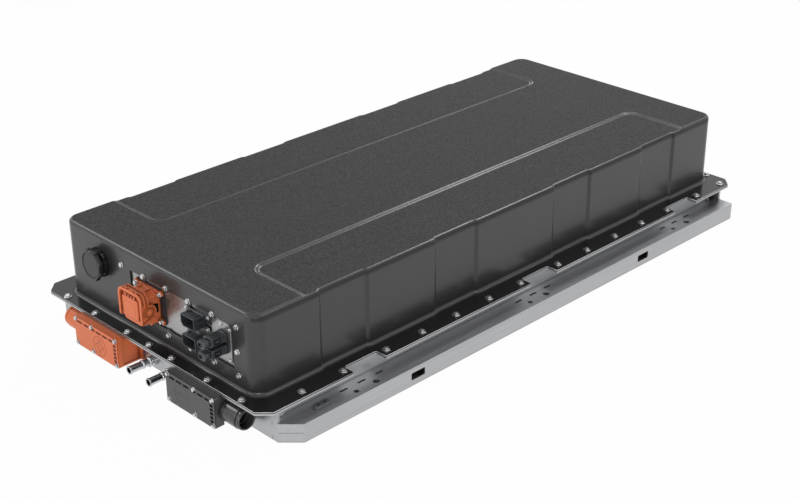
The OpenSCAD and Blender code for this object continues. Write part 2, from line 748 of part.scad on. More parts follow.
module locating_blocks() color([0.45, 0.46, 0.48]) for (s = [0, 1]) mirror([s, 0, 0])
    translate([locator_x, locator_y, ledge_h]) linear_extrude(locator_h) rotate(90) difference() {
        obround(locator_l, locator_w);
        for (e = [-1, 1]) translate([e * dowel_pitch / 2, 0]) circle(locator_hole_r);
    }
module flange_screws() color([0.8, 0.8, 0.82]) for (p = flange_points) translate([p[0], p[1], flange_top]) {
    cylinder(r = screw_washer_r, h = washer_t);
    linear_extrude(screw_head_h) hexagon(hex_flats);
    translate([0, 0, flange_low - flange_top]) cylinder(r = screw_r, h = flange_top - flange_low + washer_t);
}
module flange_nuts() color([0.7, 0.7, 0.72]) along_z(flange_low, tray_h) for (p = flange_points)
    translate(p) difference() {
        circle(insert_r);
        circle(screw_r + thread_gap);
    }

// Connector panel behind the opening in the lid
module connector_plate() color([0.78, 0.78, 0.8]) difference() {
    along_y(plate_front, plate_back) difference() {
        translate([panel_x, panel_mid_z]) round_rect(plate_w, plate_h, panel_margin);
        for (p = panel_points) translate(p) circle(panel_screw_r + hole_gap);
        translate([disc_x, disc_z]) square([tub_w + 2 * slide_gap, tub_h + 2 * slide_gap], center = true);
        for (z = header_z) translate([header_x, z])
            square([header_tail_w + 2 * slide_gap, header_tail_h + 2 * slide_gap], center = true);
        for (z = aux_z) translate([aux_x, z]) circle(aux_barrel_r + slide_gap);
    }
    for (x = [-1, 1], z = [-1, 1]) {
        rod_y(disc_x + x * disc_pitch_x / 2, disc_z + z * disc_pitch_z / 2, disc_screw_r + thread_gap,
            plate_front - over, plate_back + over);
        for (h = header_z) rod_y(header_x + x * header_screw_dx, h + z * header_screw_dz,
            small_screw_r + thread_gap, plate_front - over, plate_back + over);
    }
    for (p = aux_screw_points)
        rod_y(p[0], p[1], small_screw_r + thread_gap, plate_front - over, plate_back + over);
}
module panel_seal() color([0.05, 0.05, 0.05]) along_y(-lid_in_y, plate_front) difference() {
    translate([panel_x, panel_mid_z]) round_rect(plate_w, plate_h, panel_margin);
    panel_opening();
    for (p = panel_points) translate(p) circle(panel_screw_r + hole_gap);
}
module panel_screws() color([0.8, 0.8, 0.82]) for (p = panel_points)
    screw_y(p[0], -lid_y, p[1], panel_screw_r, panel_head_r, panel_head_h,
        lid_y + plate_back + panel_nut_h + 1);
module panel_nuts() color([0.7, 0.7, 0.72]) along_y(plate_back, plate_back + panel_nut_h)
    for (p = panel_points) translate(p) difference() {
        hexagon(hex_flats);
        circle(panel_screw_r + thread_gap);
    }

// Service disconnect: base, plug with its fuse, and the lever that turns on the plug's pins
module disc_place(y0, y1) along_y(y0, y1) translate([disc_x, disc_z]) children();
module disc_screw_holes() for (x = [-1, 1], z = [-1, 1])
    translate([x * disc_pitch_x / 2, z * disc_pitch_z / 2]) circle(disc_screw_r + hole_gap);
module disconnect_gasket() color([0.05, 0.05, 0.05])
    disc_place(plate_front - gasket_t, plate_front) difference() {
        round_rect(disc_flange_w, disc_flange_h, 8);
        square([tub_w + 2 * slide_gap, tub_h + 2 * slide_gap], center = true);
        disc_screw_holes();
    }
module disconnect_base() color([0.9, 0.4, 0.15]) difference() {
    union() {
        disc_place(disc_flange_y, plate_front - gasket_t) difference() {
            round_rect(disc_flange_w, disc_flange_h, 8);
            disc_screw_holes();
        }
        disc_place(tower_front, disc_flange_y) round_rect(disc_body_w - 2, disc_body_h - 2, 6);
        disc_place(tower_front, tower_front + 3) round_rect(disc_body_w, disc_body_h, 7);
        disc_place(disc_flange_y - 4, disc_flange_y) round_rect(disc_body_w, disc_body_h, 7);
        disc_place(plate_front - gasket_t, tub_back) round_rect(tub_w, tub_h, 5);
    }
    disc_place(tower_front - over, tub_back - tub_t) round_rect(tub_w - 2 * tub_t, tub_h - 2 * tub_t, 3);
    for (s = [-1, 1]) disc_place(tub_back - tub_t - over, tub_back + over) translate([0, s * jaw_z])
        square([blade_t + 2 * jaw_t + 4 * slide_gap, 12 + slide_gap], center = true);
}
module disconnect_plug() color([0.88, 0.38, 0.14]) {
    carrier_w = tub_w - 2 * tub_t - 2 * slide_gap;
    carrier_h = tub_h - 2 * tub_t - 2 * slide_gap;
    disc_place(disc_front + plug_face_t, tower_front) round_rect(disc_body_w, disc_body_w, 8);
    disc_place(disc_front, disc_front + plug_face_t) translate([0, plug_face_up])
        round_rect(plug_face_w, plug_face_w - 2 * plug_face_up, 4);
    disc_place(tower_front, carrier_back) difference() {
        round_rect(carrier_w, carrier_h, 3);
        round_rect(carrier_w - 5, carrier_h - 5, 2);
    }
    rod_x(pivot_y, disc_z, lever_pin_r, disc_x - lever_in - pin_depth, disc_x + lever_in + pin_depth);
}
module lever_bar(r) intersection() {
    difference() {
        circle(r);
        circle(lever_r - lever_t);
    }
    translate([-lever_front, 0]) square([lever_front + lever_back, lever_r]);
}
// Side of the lever: a straight front edge down to its tip, and a boss round the pivot
lever_tip = [lever_tip_r - lever_front, lever_tip_r - lever_tail];
tip_lean = atan2(-lever_tip[1], -lever_tip[0]) - 90 - asin((lever_boss_r - lever_tip_r) / norm(lever_tip));
tip_way = [cos(tip_lean), sin(tip_lean)];
module lever_blade(rim, r) intersection() {
    circle(r);
    polygon([[rim - lever_front, lever_tip[1]], [rim - lever_front, lever_r], [lever_back - rim, lever_r],
        [lever_boss_r - 4 - rim, 0], [0, 0]]);
}
module lever_side() {
    circle(lever_boss_r);
    translate(lever_tip) circle(lever_tip_r);
    lever_blade(0, lever_r);
    polygon([lever_tip - [lever_tip_r, 0], lever_tip + lever_tip_r * tip_way, lever_boss_r * tip_way,
        [0, 0], [-lever_front, 0]]);
}
module lever_pockets() {
    difference() {
        lever_blade(lever_rim, lever_r - lever_rim);
        circle(lever_boss_r);
        translate([-lever_boss_r, -lever_boss_r]) square([2 * lever_boss_r, lever_boss_r + lever_rim]);
        for (y = [-7, 1]) translate([y, 0]) square([lever_rim / 2, lever_r]);
    }
    difference() {
        circle(lever_boss_r - lever_rim);
        circle(lever_pin_r + lever_rim);
    }
}
module disconnect_lever() color([0.92, 0.42, 0.16]) translate([disc_x, pivot_y, disc_z]) difference() {
    union() {
        along_x(-lever_out, lever_out) lever_bar(lever_r - 1.5);
        for (s = [-1, 1], i = [1, 2]) along_x(s * (lever_out - i * 2 * lever_ridge_w) - lever_ridge_w / 2,
            s * (lever_out - i * 2 * lever_ridge_w) + lever_ridge_w / 2) lever_bar(lever_r);
        along_x(-lever_in / 3, lever_in / 3) lever_bar(lever_r);
        for (s = [0, 1]) mirror([s, 0, 0]) along_x(lever_in, lever_out) lever_side();
    }
    for (s = [0, 1]) mirror([s, 0, 0]) along_x(lever_out - lever_pocket, lever_out + over) lever_pockets();
    rod_x(0, 0, lever_pin_r + pivot_gap, -lever_out - over, lever_out + over);
}
module disconnect_screws() color([0.8, 0.8, 0.82]) for (x = [-1, 1], z = [-1, 1])
    screw_y(disc_x + x * disc_pitch_x / 2, disc_flange_y, disc_z + z * disc_pitch_z / 2, disc_screw_r,
        disc_head_r, disc_head_h, plate_back - disc_flange_y);
module disconnect_fuse() color([0.75, 0.72, 0.65]) {
    cap_z = tub_h / 2 - tub_t - slide_gap - 2.5;
    translate([disc_x, fuse_y, disc_z]) {
        translate([0, 0, -cap_z]) cylinder(r = disc_fuse_r - 1, h = 2 * cap_z);
        for (s = [0, 1]) mirror([0, 0, s]) {
            translate([0, 0, cap_z - 9]) cylinder(r = disc_fuse_r, h = 9);
            block([-blade_t / 2, 0, jaw_z - 4], [blade_t / 2, tub_back - tub_t - fuse_y - 4, jaw_z + 4]);
        }
    }
}

// Low-voltage headers
module header_outline(inset) {
    a = header_w / 2 - inset;
    b = header_h / 2 - inset;
    c = header_chamfer - inset * 0.6;
    polygon([[c - a, -b], [a, -b], [a, b], [-a, b], [-a, c - b]]);
}
module header_pins(r) for (i = [0:pin_n - 1], s = [-1, 1])
    translate([(i - (pin_n - 1) / 2) * pin_pitch, s * pin_pitch]) circle(r);
module lv_header(z) color([0.16, 0.17, 0.19]) {
    difference() {
        union() {
            along_y(plate_front - header_flange_t, plate_front) translate([header_x, z])
                round_rect(header_flange_w, header_flange_h, 4);
            along_y(plate_front - header_depth, plate_front) translate([header_x, z]) header_outline(0);
            along_y(plate_front, header_back) translate([header_x, z])
                square([header_tail_w, header_tail_h], center = true);
        }
        along_y(plate_front - header_depth - over, plate_front - header_flange_t - 2)
            translate([header_x, z]) header_outline(header_t);
        along_y(plate_front - header_flange_t - 3, header_back + over)
            translate([header_x, z]) header_pins(pin_r + thread_gap);
        for (x = [-1, 1], s = [-1, 1]) rod_y(header_x + x * header_screw_dx, z + s * header_screw_dz,
            small_screw_r + slide_gap, plate_front - header_flange_t - over, plate_front + over);
    }
    for (x = [-0.3, 0, 0.3]) along_y(plate_front - header_depth + 3, plate_front - header_flange_t - 2)
        translate([header_x + x * header_w - 1, z + header_h / 2 - header_t - 2.5]) square([2, 2.5]);
}
module lv_header_upper() lv_header(header_z[0]);
module lv_header_lower() lv_header(header_z[1]);
module lv_pins() color([0.85, 0.75, 0.4]) for (z = header_z)
    along_y(plate_front - header_depth + 6, header_back + 4) translate([header_x, z]) header_pins(pin_r);
module lv_screws() color([0.8, 0.8, 0.82]) for (z = header_z, x = [-1, 1], s = [-1, 1])
    screw_y(header_x + x * header_screw_dx, plate_front - header_flange_t, z + s * header_screw_dz,
        small_screw_r, small_head_r, small_head_h, header_flange_t + panel_t);

// Auxiliary plugs on their own small plate
module aux_plate() color([0.8, 0.8, 0.82]) along_y(aux_back, plate_front) difference() {
    polygon(aux_plate_points);
    for (z = aux_z) translate([aux_x, z]) circle(aux_barrel_r + slide_gap);
    for (p = aux_screw_points) translate(p) circle(small_screw_r + slide_gap);
}
module aux_plug(z) color([0.13, 0.14, 0.15]) difference() {
    union() {
        along_y(aux_body_front, aux_back) translate([aux_x, z]) round_rect(aux_w - 2, aux_h - 2, 3);
        for (y = [aux_body_front + 14, aux_back]) along_y(y - 6, y) translate([aux_x, z])
            round_rect(aux_w, aux_h, 4);
        along_y(aux_front, aux_body_front) translate([aux_x, z]) obround(nose_w, nose_h);
        rod_y(aux_x, z, aux_barrel_r, aux_back - over, aux_barrel_back);
    }
    rod_y(aux_x - 3, z, 3, aux_front - over, aux_body_front + 3);
    block([aux_x + aux_w / 2 - 4, aux_back - 27, z - 5], [aux_x + aux_w, aux_back - 14, z + 5]);
}
module aux_plug_upper() aux_plug(aux_z[0]);
module aux_plug_lower() aux_plug(aux_z[1]);
module aux_screws() color([0.8, 0.8, 0.82]) for (p = aux_screw_points)
    screw_y(p[0], aux_back, p[1], small_screw_r, small_head_r, small_head_h, aux_plate_t + panel_t);

// Vent valve on the lid's front wall
module vent_seal() color([0.05, 0.05, 0.05]) along_y(vent_base_back, -lid_y) translate([vent_x, vent_z])
    difference() {
        circle(vent_neck_r + vent_seal_w - 1);
        circle(vent_neck_r - 1);
    }
module vent_base() color([0.08, 0.08, 0.09]) difference() {
    union() {
        along_y(vent_base_front, vent_base_back) translate([vent_x, vent_z]) {
            circle(vent_base_r);
            for (a = [45:90:315]) rotate(a) translate([vent_base_r - 2, 0]) circle(vent_lobe_r);
        }
        rod_y(vent_x, vent_z, vent_neck_r, vent_neck_front, vent_base_front);
        rod_y(vent_x, vent_z, vent_throat_r - slide_gap, vent_base_back, -lid_y + vent_throat_l);
    }
    rod_y(vent_x, vent_z, vent_bore_r, vent_neck_front - over, -lid_y + vent_throat_l + over);
}
module vent_membrane() color([0.8, 0.8, 0.8])
    rod_y(vent_x, vent_z, vent_bore_r + 5, vent_neck_front - 0.5, vent_neck_front);
module vent_cap() color([0.1, 0.1, 0.11]) difference() {
    along_y(vent_cap_front, vent_neck_front + 5) translate([vent_x, vent_z]) {
        circle(vent_r);
        for (i = [0:vent_lugs - 1]) rotate((i + 0.5) * 360 / vent_lugs) translate([vent_r - 2.5, 0])
            circle(2.5 + vent_lug_h);
    }
    rod_y(vent_x, vent_z, vent_rim_r, vent_cap_front - over, vent_cap_front + 1.5);
    rod_y(vent_x, vent_z, vent_neck_r + 0.1, vent_neck_front - 1, vent_neck_front + 5 + over);
}
module vent_nut() color([0.15, 0.15, 0.16]) along_y(-lid_in_y, -lid_in_y + vent_nut_h)
    translate([vent_x, vent_z]) difference() {
        hexagon(2 * vent_neck_r);
        circle(vent_throat_r - slide_gap + thread_gap);
    }

// High-voltage outlets: drawn once with the gland on the right, x from the box's inner end
module hv_neg_place() translate([hv_neg_x, 0, 0]) children();
module hv_pos_place() mirror([1, 0, 0]) translate([hv_pos_x, 0, 0]) children();
module hv_screw_points() for (x = hv_screw_x, z = hv_screw_z) translate([x, z]) children();
module hv_outline(r) translate([hv_w / 2, hv_mid_z]) round_rect(hv_w, hv_h, r);
module hv_housing() difference() {
    union() {
        difference() {
            union() {
                along_y(hv_front, -tray_y) hv_outline(hv_corner);
                along_y(-tray_y - hv_flange_t, -tray_y) translate([-hv_flange_w, hv_low + 5])
                    square([hv_flange_w + hv_corner, hv_h - 10]);
            }
            block([hv_t, hv_front - over, hv_low + hv_t], [hv_step_x, -tray_y - hv_t, hv_high - hv_t]);
            block([hv_step_x - over, hv_front - over, hv_low + hv_step_h + hv_t],
                [hv_w - hv_t, -tray_y - hv_t, hv_high - hv_t]);
            block([hv_step_x + hv_t, hv_step_y, hv_low - over],
                [hv_w + over, -tray_y + over, hv_low + hv_step_h]);
        }
        along_y(hv_front, hv_front + 14) hv_screw_points() circle(hv_screw_edge - 1.5);
        rod_y(terminal_x, terminal_z, bushing_r, -tray_y - hv_t, -beam_in_y);
    }
    block([-over, hv_front + hv_rib, hv_low + hv_rib], [hv_t / 2, -tray_y - hv_flange_t - 2, hv_high - hv_rib]);
    along_y(hv_front - over, hv_front + 11) hv_screw_points() circle(hv_screw_r + thread_gap);
    rod_y(terminal_x, terminal_z, terminal_r + slide_gap, -tray_y - hv_t - over, -beam_in_y + over);
    rod_x(gland_y, gland_z, gland_spigot_r + thread_gap, hv_w - hv_t - over, hv_w + over);
}
// The cover's long pockets run along its top, the short ones down the end given by side
module hv_cover(side) difference() {
    union() {
        along_y(hv_plate_front, hv_front) hv_outline(hv_corner);
        along_y(hv_plate_front - hv_face_t, hv_plate_front) translate([hv_w / 2, hv_mid_z]) difference() {
            round_rect(hv_w - 2, hv_h - 2, hv_corner - 1);
            for (i = [-2.5:2.5]) translate([i * 22, hv_h / 2 - 9.5]) square([17, 3.2], center = true);
            for (i = [-2:2]) translate([side * (hv_w / 2 - 9), i * 9 - 2]) square([6, 5.5], center = true);
        }
    }
    along_y(hv_front - hv_cover_t - over, hv_plate_front) hv_screw_points() circle(hv_head_r + 1);
    along_y(hv_front - hv_cover_t - over, hv_front + over) hv_screw_points() circle(hv_screw_r + hole_gap);
}
module hv_gland() difference() {
    union() {
        rod_x(gland_y, gland_z, gland_spigot_r, hv_w - hv_t - 2, hv_w + gland_l - 2);
        for (q = [[0, 7, gland_r - 1.4], [10, 29, gland_r], [33, gland_l - 3, gland_r - 0.8],
            [gland_l - 3, gland_l, gland_r - 2]])
            rod_x(gland_y, gland_z, q[2], hv_w + q[0], hv_w + q[1]);
    }
    rod_x(gland_y, gland_z, gland_bore_r, hv_w - hv_t - 2 - over, hv_w + gland_l + over);
}
module hv_screws() for (x = hv_screw_x, z = hv_screw_z)
    screw_y(x, hv_plate_front, z, hv_screw_r, hv_head_r, hv_head_h, hv_cover_t - hv_face_t + 10);
module hv_pos_housing() color([0.85, 0.4, 0.15]) hv_pos_place() hv_housing();
module hv_pos_cover() color([0.85, 0.4, 0.15]) hv_pos_place() hv_cover(-1);
module hv_pos_gland() color([0.85, 0.4, 0.15]) hv_pos_place() hv_gland();
module hv_pos_screws() color([0.8, 0.8, 0.82]) hv_pos_place() hv_screws();
module hv_neg_housing() color([0.14, 0.15, 0.16]) hv_neg_place() hv_housing();
module hv_neg_cover() color([0.14, 0.15, 0.16]) hv_neg_place() hv_cover(1);
module hv_neg_gland() color([0.14, 0.15, 0.16]) hv_neg_place() hv_gland();
module hv_neg_screws() color([0.8, 0.8, 0.82]) hv_neg_place() hv_screws();
module hv_stud() {
    rod_y(terminal_x, terminal_z, terminal_r, -tray_y - 42, stud_back);
    for (y = [-tray_y - hv_t - 6, -beam_in_y]) along_y(y, y + 6) translate([terminal_x, terminal_z])
        hexagon(2 * bushing_r + 2);
}
module hv_terminals() color([0.8, 0.6, 0.35]) {
    hv_neg_place() hv_stud();
    hv_pos_place() hv_stud();
}

// Coolant pipes and the manifold that feeds the cold plate
module coolant_pipe(x) color([0.7, 0.71, 0.73]) difference() {
    union() {
        rod_y(x, pipe_z, pipe_r, -tray_y - pipe_l, -beam_in_y + 6);
        for (q = [[0, 14, 2.5], [15.5, 19, 3.5], [30.5, 33.5, 1.3], [pipe_l - 3, pipe_l, 1.3]])
            rod_y(x, pipe_z, pipe_r + q[2], -tray_y - q[1], -tray_y - q[0]);
    }
    rod_y(x, pipe_z, pipe_r - pipe_t, -tray_y - pipe_l - over, -beam_in_y + 6 + over);
}
module coolant_inlet() coolant_pipe(pipe_x[0]);
module coolant_outlet() coolant_pipe(pipe_x[1]);
module coolant_manifold() color([0.75, 0.76, 0.78]) {
    mid = (pipe_x[0] + pipe_x[1]) / 2;
    difference() {
        union() {
            block([-tray_in, -beam_in_y, floor_t], [tray_in, cold_y0, cold_top]);
            block([pipe_x[0] - 18, -beam_in_y, floor_t], [pipe_x[1] + 18, cold_y0, pipe_z + pipe_r + 4]);
        }
        for (q = [[-tray_in + 6, mid - 3], [mid + 3, tray_in - 6]])
            block([q[0], -beam_in_y + 8, floor_t + 3], [q[1], cold_y0 + over, cold_top - 3]);
        for (x = pipe_x) {
            block([x - pipe_r, -beam_in_y + 8, floor_t + 4], [x + pipe_r, cold_y0 - 6, pipe_z + pipe_r]);
            rod_y(x, pipe_z, pipe_r + thread_gap, -beam_in_y - over, -beam_in_y + 9);
        }
    }
}

// Cells
module cell() {
    linear_extrude(cell_h) round_rect(cell_t, cell_w, 3);
    for (s = [-1, 1]) translate([0, s * (cell_w / 2 - terminal_inset), cell_h])
        cylinder(r = terminal_pad_r, h = terminal_pad_h);
    translate([0, 0, cell_h]) linear_extrude(1) obround(26, 16);
}
module cell_module(k) color([0.3, 0.42, 0.62]) for (i = [0:cols - 1], row = [0:rows - 1])
    translate([cell_x(i), module_y(k) + cell_w / 2 + row * (cell_w + cell_gap), cell_low]) cell();
module cell_module_front() cell_module(0);
module cell_module_middle() cell_module(1);
module cell_module_rear() cell_module(2);
module thermal_pads() color([0.6, 0.6, 0.58]) for (k = [0:module_n - 1])
    block([-module_half_w, module_y(k), cold_top], [module_half_w, module_y(k) + module_l, cell_low]);
module module_end_plates() color([0.72, 0.73, 0.75]) for (k = [0:module_n - 1], s = [0, 1])
    mirror([s, 0, 0]) block([module_half_w, module_y(k), cold_top],
        [module_half_w + end_plate_t, module_y(k) + module_l, cell_high]);
module cell_busbars() color([0.85, 0.5, 0.3]) {
    z0 = cell_high + terminal_pad_h;
    half = busbar_w / 2;
    for (k = [0:module_n - 1]) {
        for (row = [0:rows - 1], i = [0:cols - 2]) {
            y = terminal_y(k, row, (i + row) % 2 == 1);
            block([cell_x(i) - half, y - half, z0], [cell_x(i + 1) + half, y + half, z0 + busbar_t]);
        }
        if (rows > 1) block([cell_x(cols - 1) - half, terminal_y(k, 0, true) - half, z0],
            [cell_x(cols - 1) + half, terminal_y(k, 1, false) + half, z0 + busbar_t]);
    }
    for (k = [0:module_n - 2]) {
        y0 = terminal_y(k, rows - 1, rows == 1);
        y1 = terminal_y(k + 1, 0, true);
        for (y = [y0, y1]) block([cell_x(0) - 30, y - half, z0], [cell_x(0) + half, y + half, z0 + busbar_t]);
        block([cell_x(0) - 30, y0 - half, z0], [cell_x(0) - 20, y1 + half, z0 + busbar_t]);
    }
}
module module_covers() color([0.85, 0.85, 0.86]) difference() {
    for (k = [0:module_n - 1]) difference() {
        block([-module_half_w - end_plate_t, module_y(k), cell_high],
            [module_half_w + end_plate_t, module_y(k) + module_l, cell_high + cover_h]);
        block([-module_half_w - end_plate_t + cover_t, module_y(k) + cover_t, cell_high - over],
            [module_half_w + end_plate_t - cover_t, module_y(k) + module_l - cover_t,
            cell_high + cover_h - cover_t]);
    }
    block([cell_x(0) - 32, module_y(0) + module_l - 5, cell_high - over],
        [cell_x(0) - 18, module_y(module_n - 1) + 5, cell_high + cover_h - cover_t]);
    for (y = [pos_end_y, neg_end_y]) block([cell_x(0) - bar_half - 1, y - bar_half - 1, cell_high],
        [cell_x(0) + bar_half + 1, y + bar_half + 1, cell_high + cover_h + over]);
}

// Battery management, contactors, main fuse and the bars between them
bms_half_w = 90;
bms_low = [-bms_half_w, -beam_in_y + 50, cold_top];
bms_high = [bms_half_w, -beam_in_y + 175, cold_top + 45];
bms_foot = 12;
board_edge = 6;
board_z = cold_top + 14;
board_t = 1.6;
chip_w = 18;
chip_h = 3;
chip_pitch = 30;
module bms_case() color([0.2, 0.2, 0.22]) {
    wall = [2.5, 2.5, 2.5];
    difference() {
        block(bms_low, bms_high);
        block(bms_low + wall, bms_high - wall);
    }
    for (x = [-1, 1], y = [bms_low[1] + bms_foot, bms_high[1] - bms_foot])
        translate([x * (bms_half_w - bms_foot), y, cold_top]) cylinder(r = 4, h = board_z - cold_top);
}
module bms_board() color([0.1, 0.35, 0.2]) {
    block([bms_low[0] + board_edge, bms_low[1] + board_edge - 1, board_z],
        [bms_high[0] - board_edge, bms_high[1] - board_edge + 1, board_z + board_t]);
    for (i = [-2:2]) translate([i * chip_pitch - chip_w / 2, bms_low[1] + 40, board_z])
        cube([chip_w, chip_w, board_t + chip_h]);
}
module contactors() color([0.9, 0.88, 0.8]) for (x = [hv_neg_x + terminal_x, -hv_pos_x - terminal_x])
    translate([x, contactor_y, cold_top]) {
        linear_extrude(6) round_rect(2 * contactor_r + 10, 2 * contactor_r + 10, 8);
        cylinder(r = contactor_r, h = bar_mid_z - bar_half - cold_top - 10);
        for (s = [-1, 1]) translate([0, s * contactor_term, 0])
            cylinder(r = 5, h = bar_mid_z - bar_half - cold_top);
    }
fuse_x = (cell_x(0) - hv_pos_x - terminal_x) / 2;
module main_fuse() color([0.85, 0.83, 0.78]) {
    rod_x(front_bar_y, bar_mid_z, main_fuse_r, fuse_x - 26, fuse_x + 26);
    for (s = [-1, 1]) rod_x(front_bar_y, bar_mid_z, fuse_cap_r, fuse_x + s * 22 - 5, fuse_x + s * 22 + 5);
}
module bar_run(points) for (i = [0:len(points) - 2]) {
    a = points[i];
    b = points[i + 1];
    h = [bar_half, bar_half, bar_half];
    block([for (q = [0:2]) min(a[q], b[q])] - h, [for (q = [0:2]) max(a[q], b[q])] + h);
}
module hv_busbars() color([0.85, 0.5, 0.3]) {
    neg = hv_neg_x + terminal_x;
    pos = -hv_pos_x - terminal_x;
    foot_z = cell_high + terminal_pad_h + bar_half;
    cy = front_bar_y;
    for (s = [-1, 1]) translate([disc_x, 0, disc_z + s * jaw_z]) {
        for (e = [0, 1]) mirror([e, 0, 0]) block([blade_t / 2 + thread_gap, tub_back - tub_t - 14, -5],
            [blade_t / 2 + jaw_t, jaw_back, 5]);
        block([-blade_t / 2 - jaw_t, tub_back + 2, -5], [blade_t / 2 + jaw_t, stud_back, 5]);
    }
    bar_run([[neg, bar_y, terminal_z], [neg, bar_y, disc_z - jaw_z], [disc_x, bar_y, disc_z - jaw_z]]);
    bar_run([[disc_x, bar_y, disc_z + jaw_z], [disc_x, bar_y + 26, disc_z + jaw_z],
        [neg, bar_y + 26, disc_z + jaw_z], [neg, bar_y + 26, bar_mid_z],
        [neg, contactor_y - contactor_term, bar_mid_z]]);
    bar_run([[pos, bar_y, terminal_z], [pos, bar_y, bar_mid_z],
        [pos, contactor_y - contactor_term, bar_mid_z]]);
    bar_run([[cell_x(0), pos_end_y, foot_z], [cell_x(0), pos_end_y, bar_top_z], [cell_x(0), cy, bar_top_z],
        [cell_x(0), cy, bar_mid_z], [fuse_x - 27 - bar_half, cy, bar_mid_z]]);
    bar_run([[fuse_x + 27 + bar_half, cy, bar_mid_z], [pos, cy, bar_mid_z],
        [pos, contactor_y + contactor_term, bar_mid_z]]);
    bar_run([[cell_x(0), neg_end_y, foot_z], [cell_x(0), neg_end_y, bar_top_z], [-60, neg_end_y, bar_top_z],
        [-60, cy, bar_top_z], [-60, cy, bar_mid_z], [neg, cy, bar_mid_z],
        [neg, contactor_y + contactor_term, bar_mid_z]]);
}

lid();
lid_seal();
side_rail_left();
side_rail_right();
front_beam();
rear_beam();
floor_plate();
cold_plate();
cross_members();
locating_blocks();
flange_screws();
flange_nuts();
connector_plate();
panel_seal();
panel_screws();
panel_nuts();
disconnect_gasket();
disconnect_base();
disconnect_plug();
disconnect_lever();
disconnect_screws();
disconnect_fuse();
lv_header_upper();
lv_header_lower();
lv_pins();
lv_screws();
aux_plate();
aux_plug_upper();
aux_plug_lower();
aux_screws();
vent_seal();
vent_base();
vent_membrane();
vent_cap();
vent_nut();
hv_pos_housing();
hv_pos_cover();
hv_pos_gland();
hv_pos_screws();
hv_neg_housing();
hv_neg_cover();
hv_neg_gland();
hv_neg_screws();
hv_terminals();
coolant_inlet();
coolant_outlet();
coolant_manifold();
cell_module_front();
cell_module_middle();
cell_module_rear();
thermal_pads();
module_end_plates();
cell_busbars();
module_covers();
bms_case();
bms_board();
contactors();
main_fuse();
hv_busbars();
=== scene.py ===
import json
import math

import bmesh
import bpy
from mathutils import Matrix, Quaternion, Vector


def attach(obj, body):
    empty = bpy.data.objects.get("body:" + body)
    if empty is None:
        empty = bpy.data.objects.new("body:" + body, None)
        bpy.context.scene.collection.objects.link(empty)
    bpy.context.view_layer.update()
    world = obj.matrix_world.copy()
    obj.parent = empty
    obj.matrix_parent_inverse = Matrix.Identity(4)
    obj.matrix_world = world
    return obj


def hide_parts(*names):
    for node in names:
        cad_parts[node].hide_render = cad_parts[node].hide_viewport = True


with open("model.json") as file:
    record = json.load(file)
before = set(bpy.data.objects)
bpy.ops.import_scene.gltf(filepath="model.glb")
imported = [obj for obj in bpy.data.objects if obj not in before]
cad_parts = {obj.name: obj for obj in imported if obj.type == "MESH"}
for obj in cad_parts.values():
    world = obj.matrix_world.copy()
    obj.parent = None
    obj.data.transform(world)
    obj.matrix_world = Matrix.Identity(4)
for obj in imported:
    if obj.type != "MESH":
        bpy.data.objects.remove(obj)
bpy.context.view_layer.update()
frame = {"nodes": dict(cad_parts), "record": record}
nodes = frame["nodes"]
print("frame loaded:", len(nodes), "nodes")


class Wire:  # a socket that can stand in a Python expression
    def __init__(self, owner, socket):
        self.owner, self.socket = owner, socket

    def maths(self, operation, first, second):
        return self.owner.node("ShaderNodeMath", {"operation": operation}, {0: first, 1: second})

    def __add__(self, other): return self.maths("ADD", self, other)
    def __radd__(self, other): return self.maths("ADD", other, self)
    def __sub__(self, other): return self.maths("SUBTRACT", self, other)
    def __rsub__(self, other): return self.maths("SUBTRACT", other, self)
    def __mul__(self, other): return self.maths("MULTIPLY", self, other)
    def __rmul__(self, other): return self.maths("MULTIPLY", other, self)
    def __truediv__(self, other): return self.maths("DIVIDE", self, other)
    def __rtruediv__(self, other): return self.maths("DIVIDE", other, self)
    def over(self, limit): return self.maths("GREATER_THAN", self, limit)
    def under(self, limit): return self.maths("LESS_THAN", self, limit)


class Nodes:  # the nodes of a material or of the world
    def __init__(self, tree):
        self.tree = tree

    def node(self, kind, settings=None, inputs=None, output=0):
        made = self.tree.nodes.new(kind)
        for key, value in (settings or {}).items():
            if key == "stops":
                ramp = made.color_ramp.elements
                while len(ramp) < len(value):
                    ramp.new(0.5)
                for stop, (where, shade) in zip(ramp, value):
                    stop.position = where
                    stop.color = (*shade, 1) if isinstance(shade, tuple) else (shade, shade, shade, 1)
            else:
                setattr(made, key, value)
        for key, value in (inputs or {}).items():
            if isinstance(value, Wire):
                self.tree.links.new(value.socket, made.inputs[key])
            else:
                made.inputs[key].default_value = value
        return Wire(self, made.outputs[output])

    def seen(self):  # 1 for what the camera, a gloss or a clear piece sees, 0 for the light that falls
        camera, gloss, clear = [self.node("ShaderNodeLightPath", output=ray) for ray in
            ("Is Camera Ray", "Is Glossy Ray", "Is Transmission Ray")]
        return self.node("ShaderNodeClamp", {}, {"Value": camera + gloss + clear})

    def show(self, share, first, second, output):  # blend two shaders and lead them to the output node
        blend = self.node("ShaderNodeMixShader", {}, {0: share, 1: first, 2: second})
        self.tree.links.new(blend.socket, self.tree.nodes[output].inputs["Surface"])


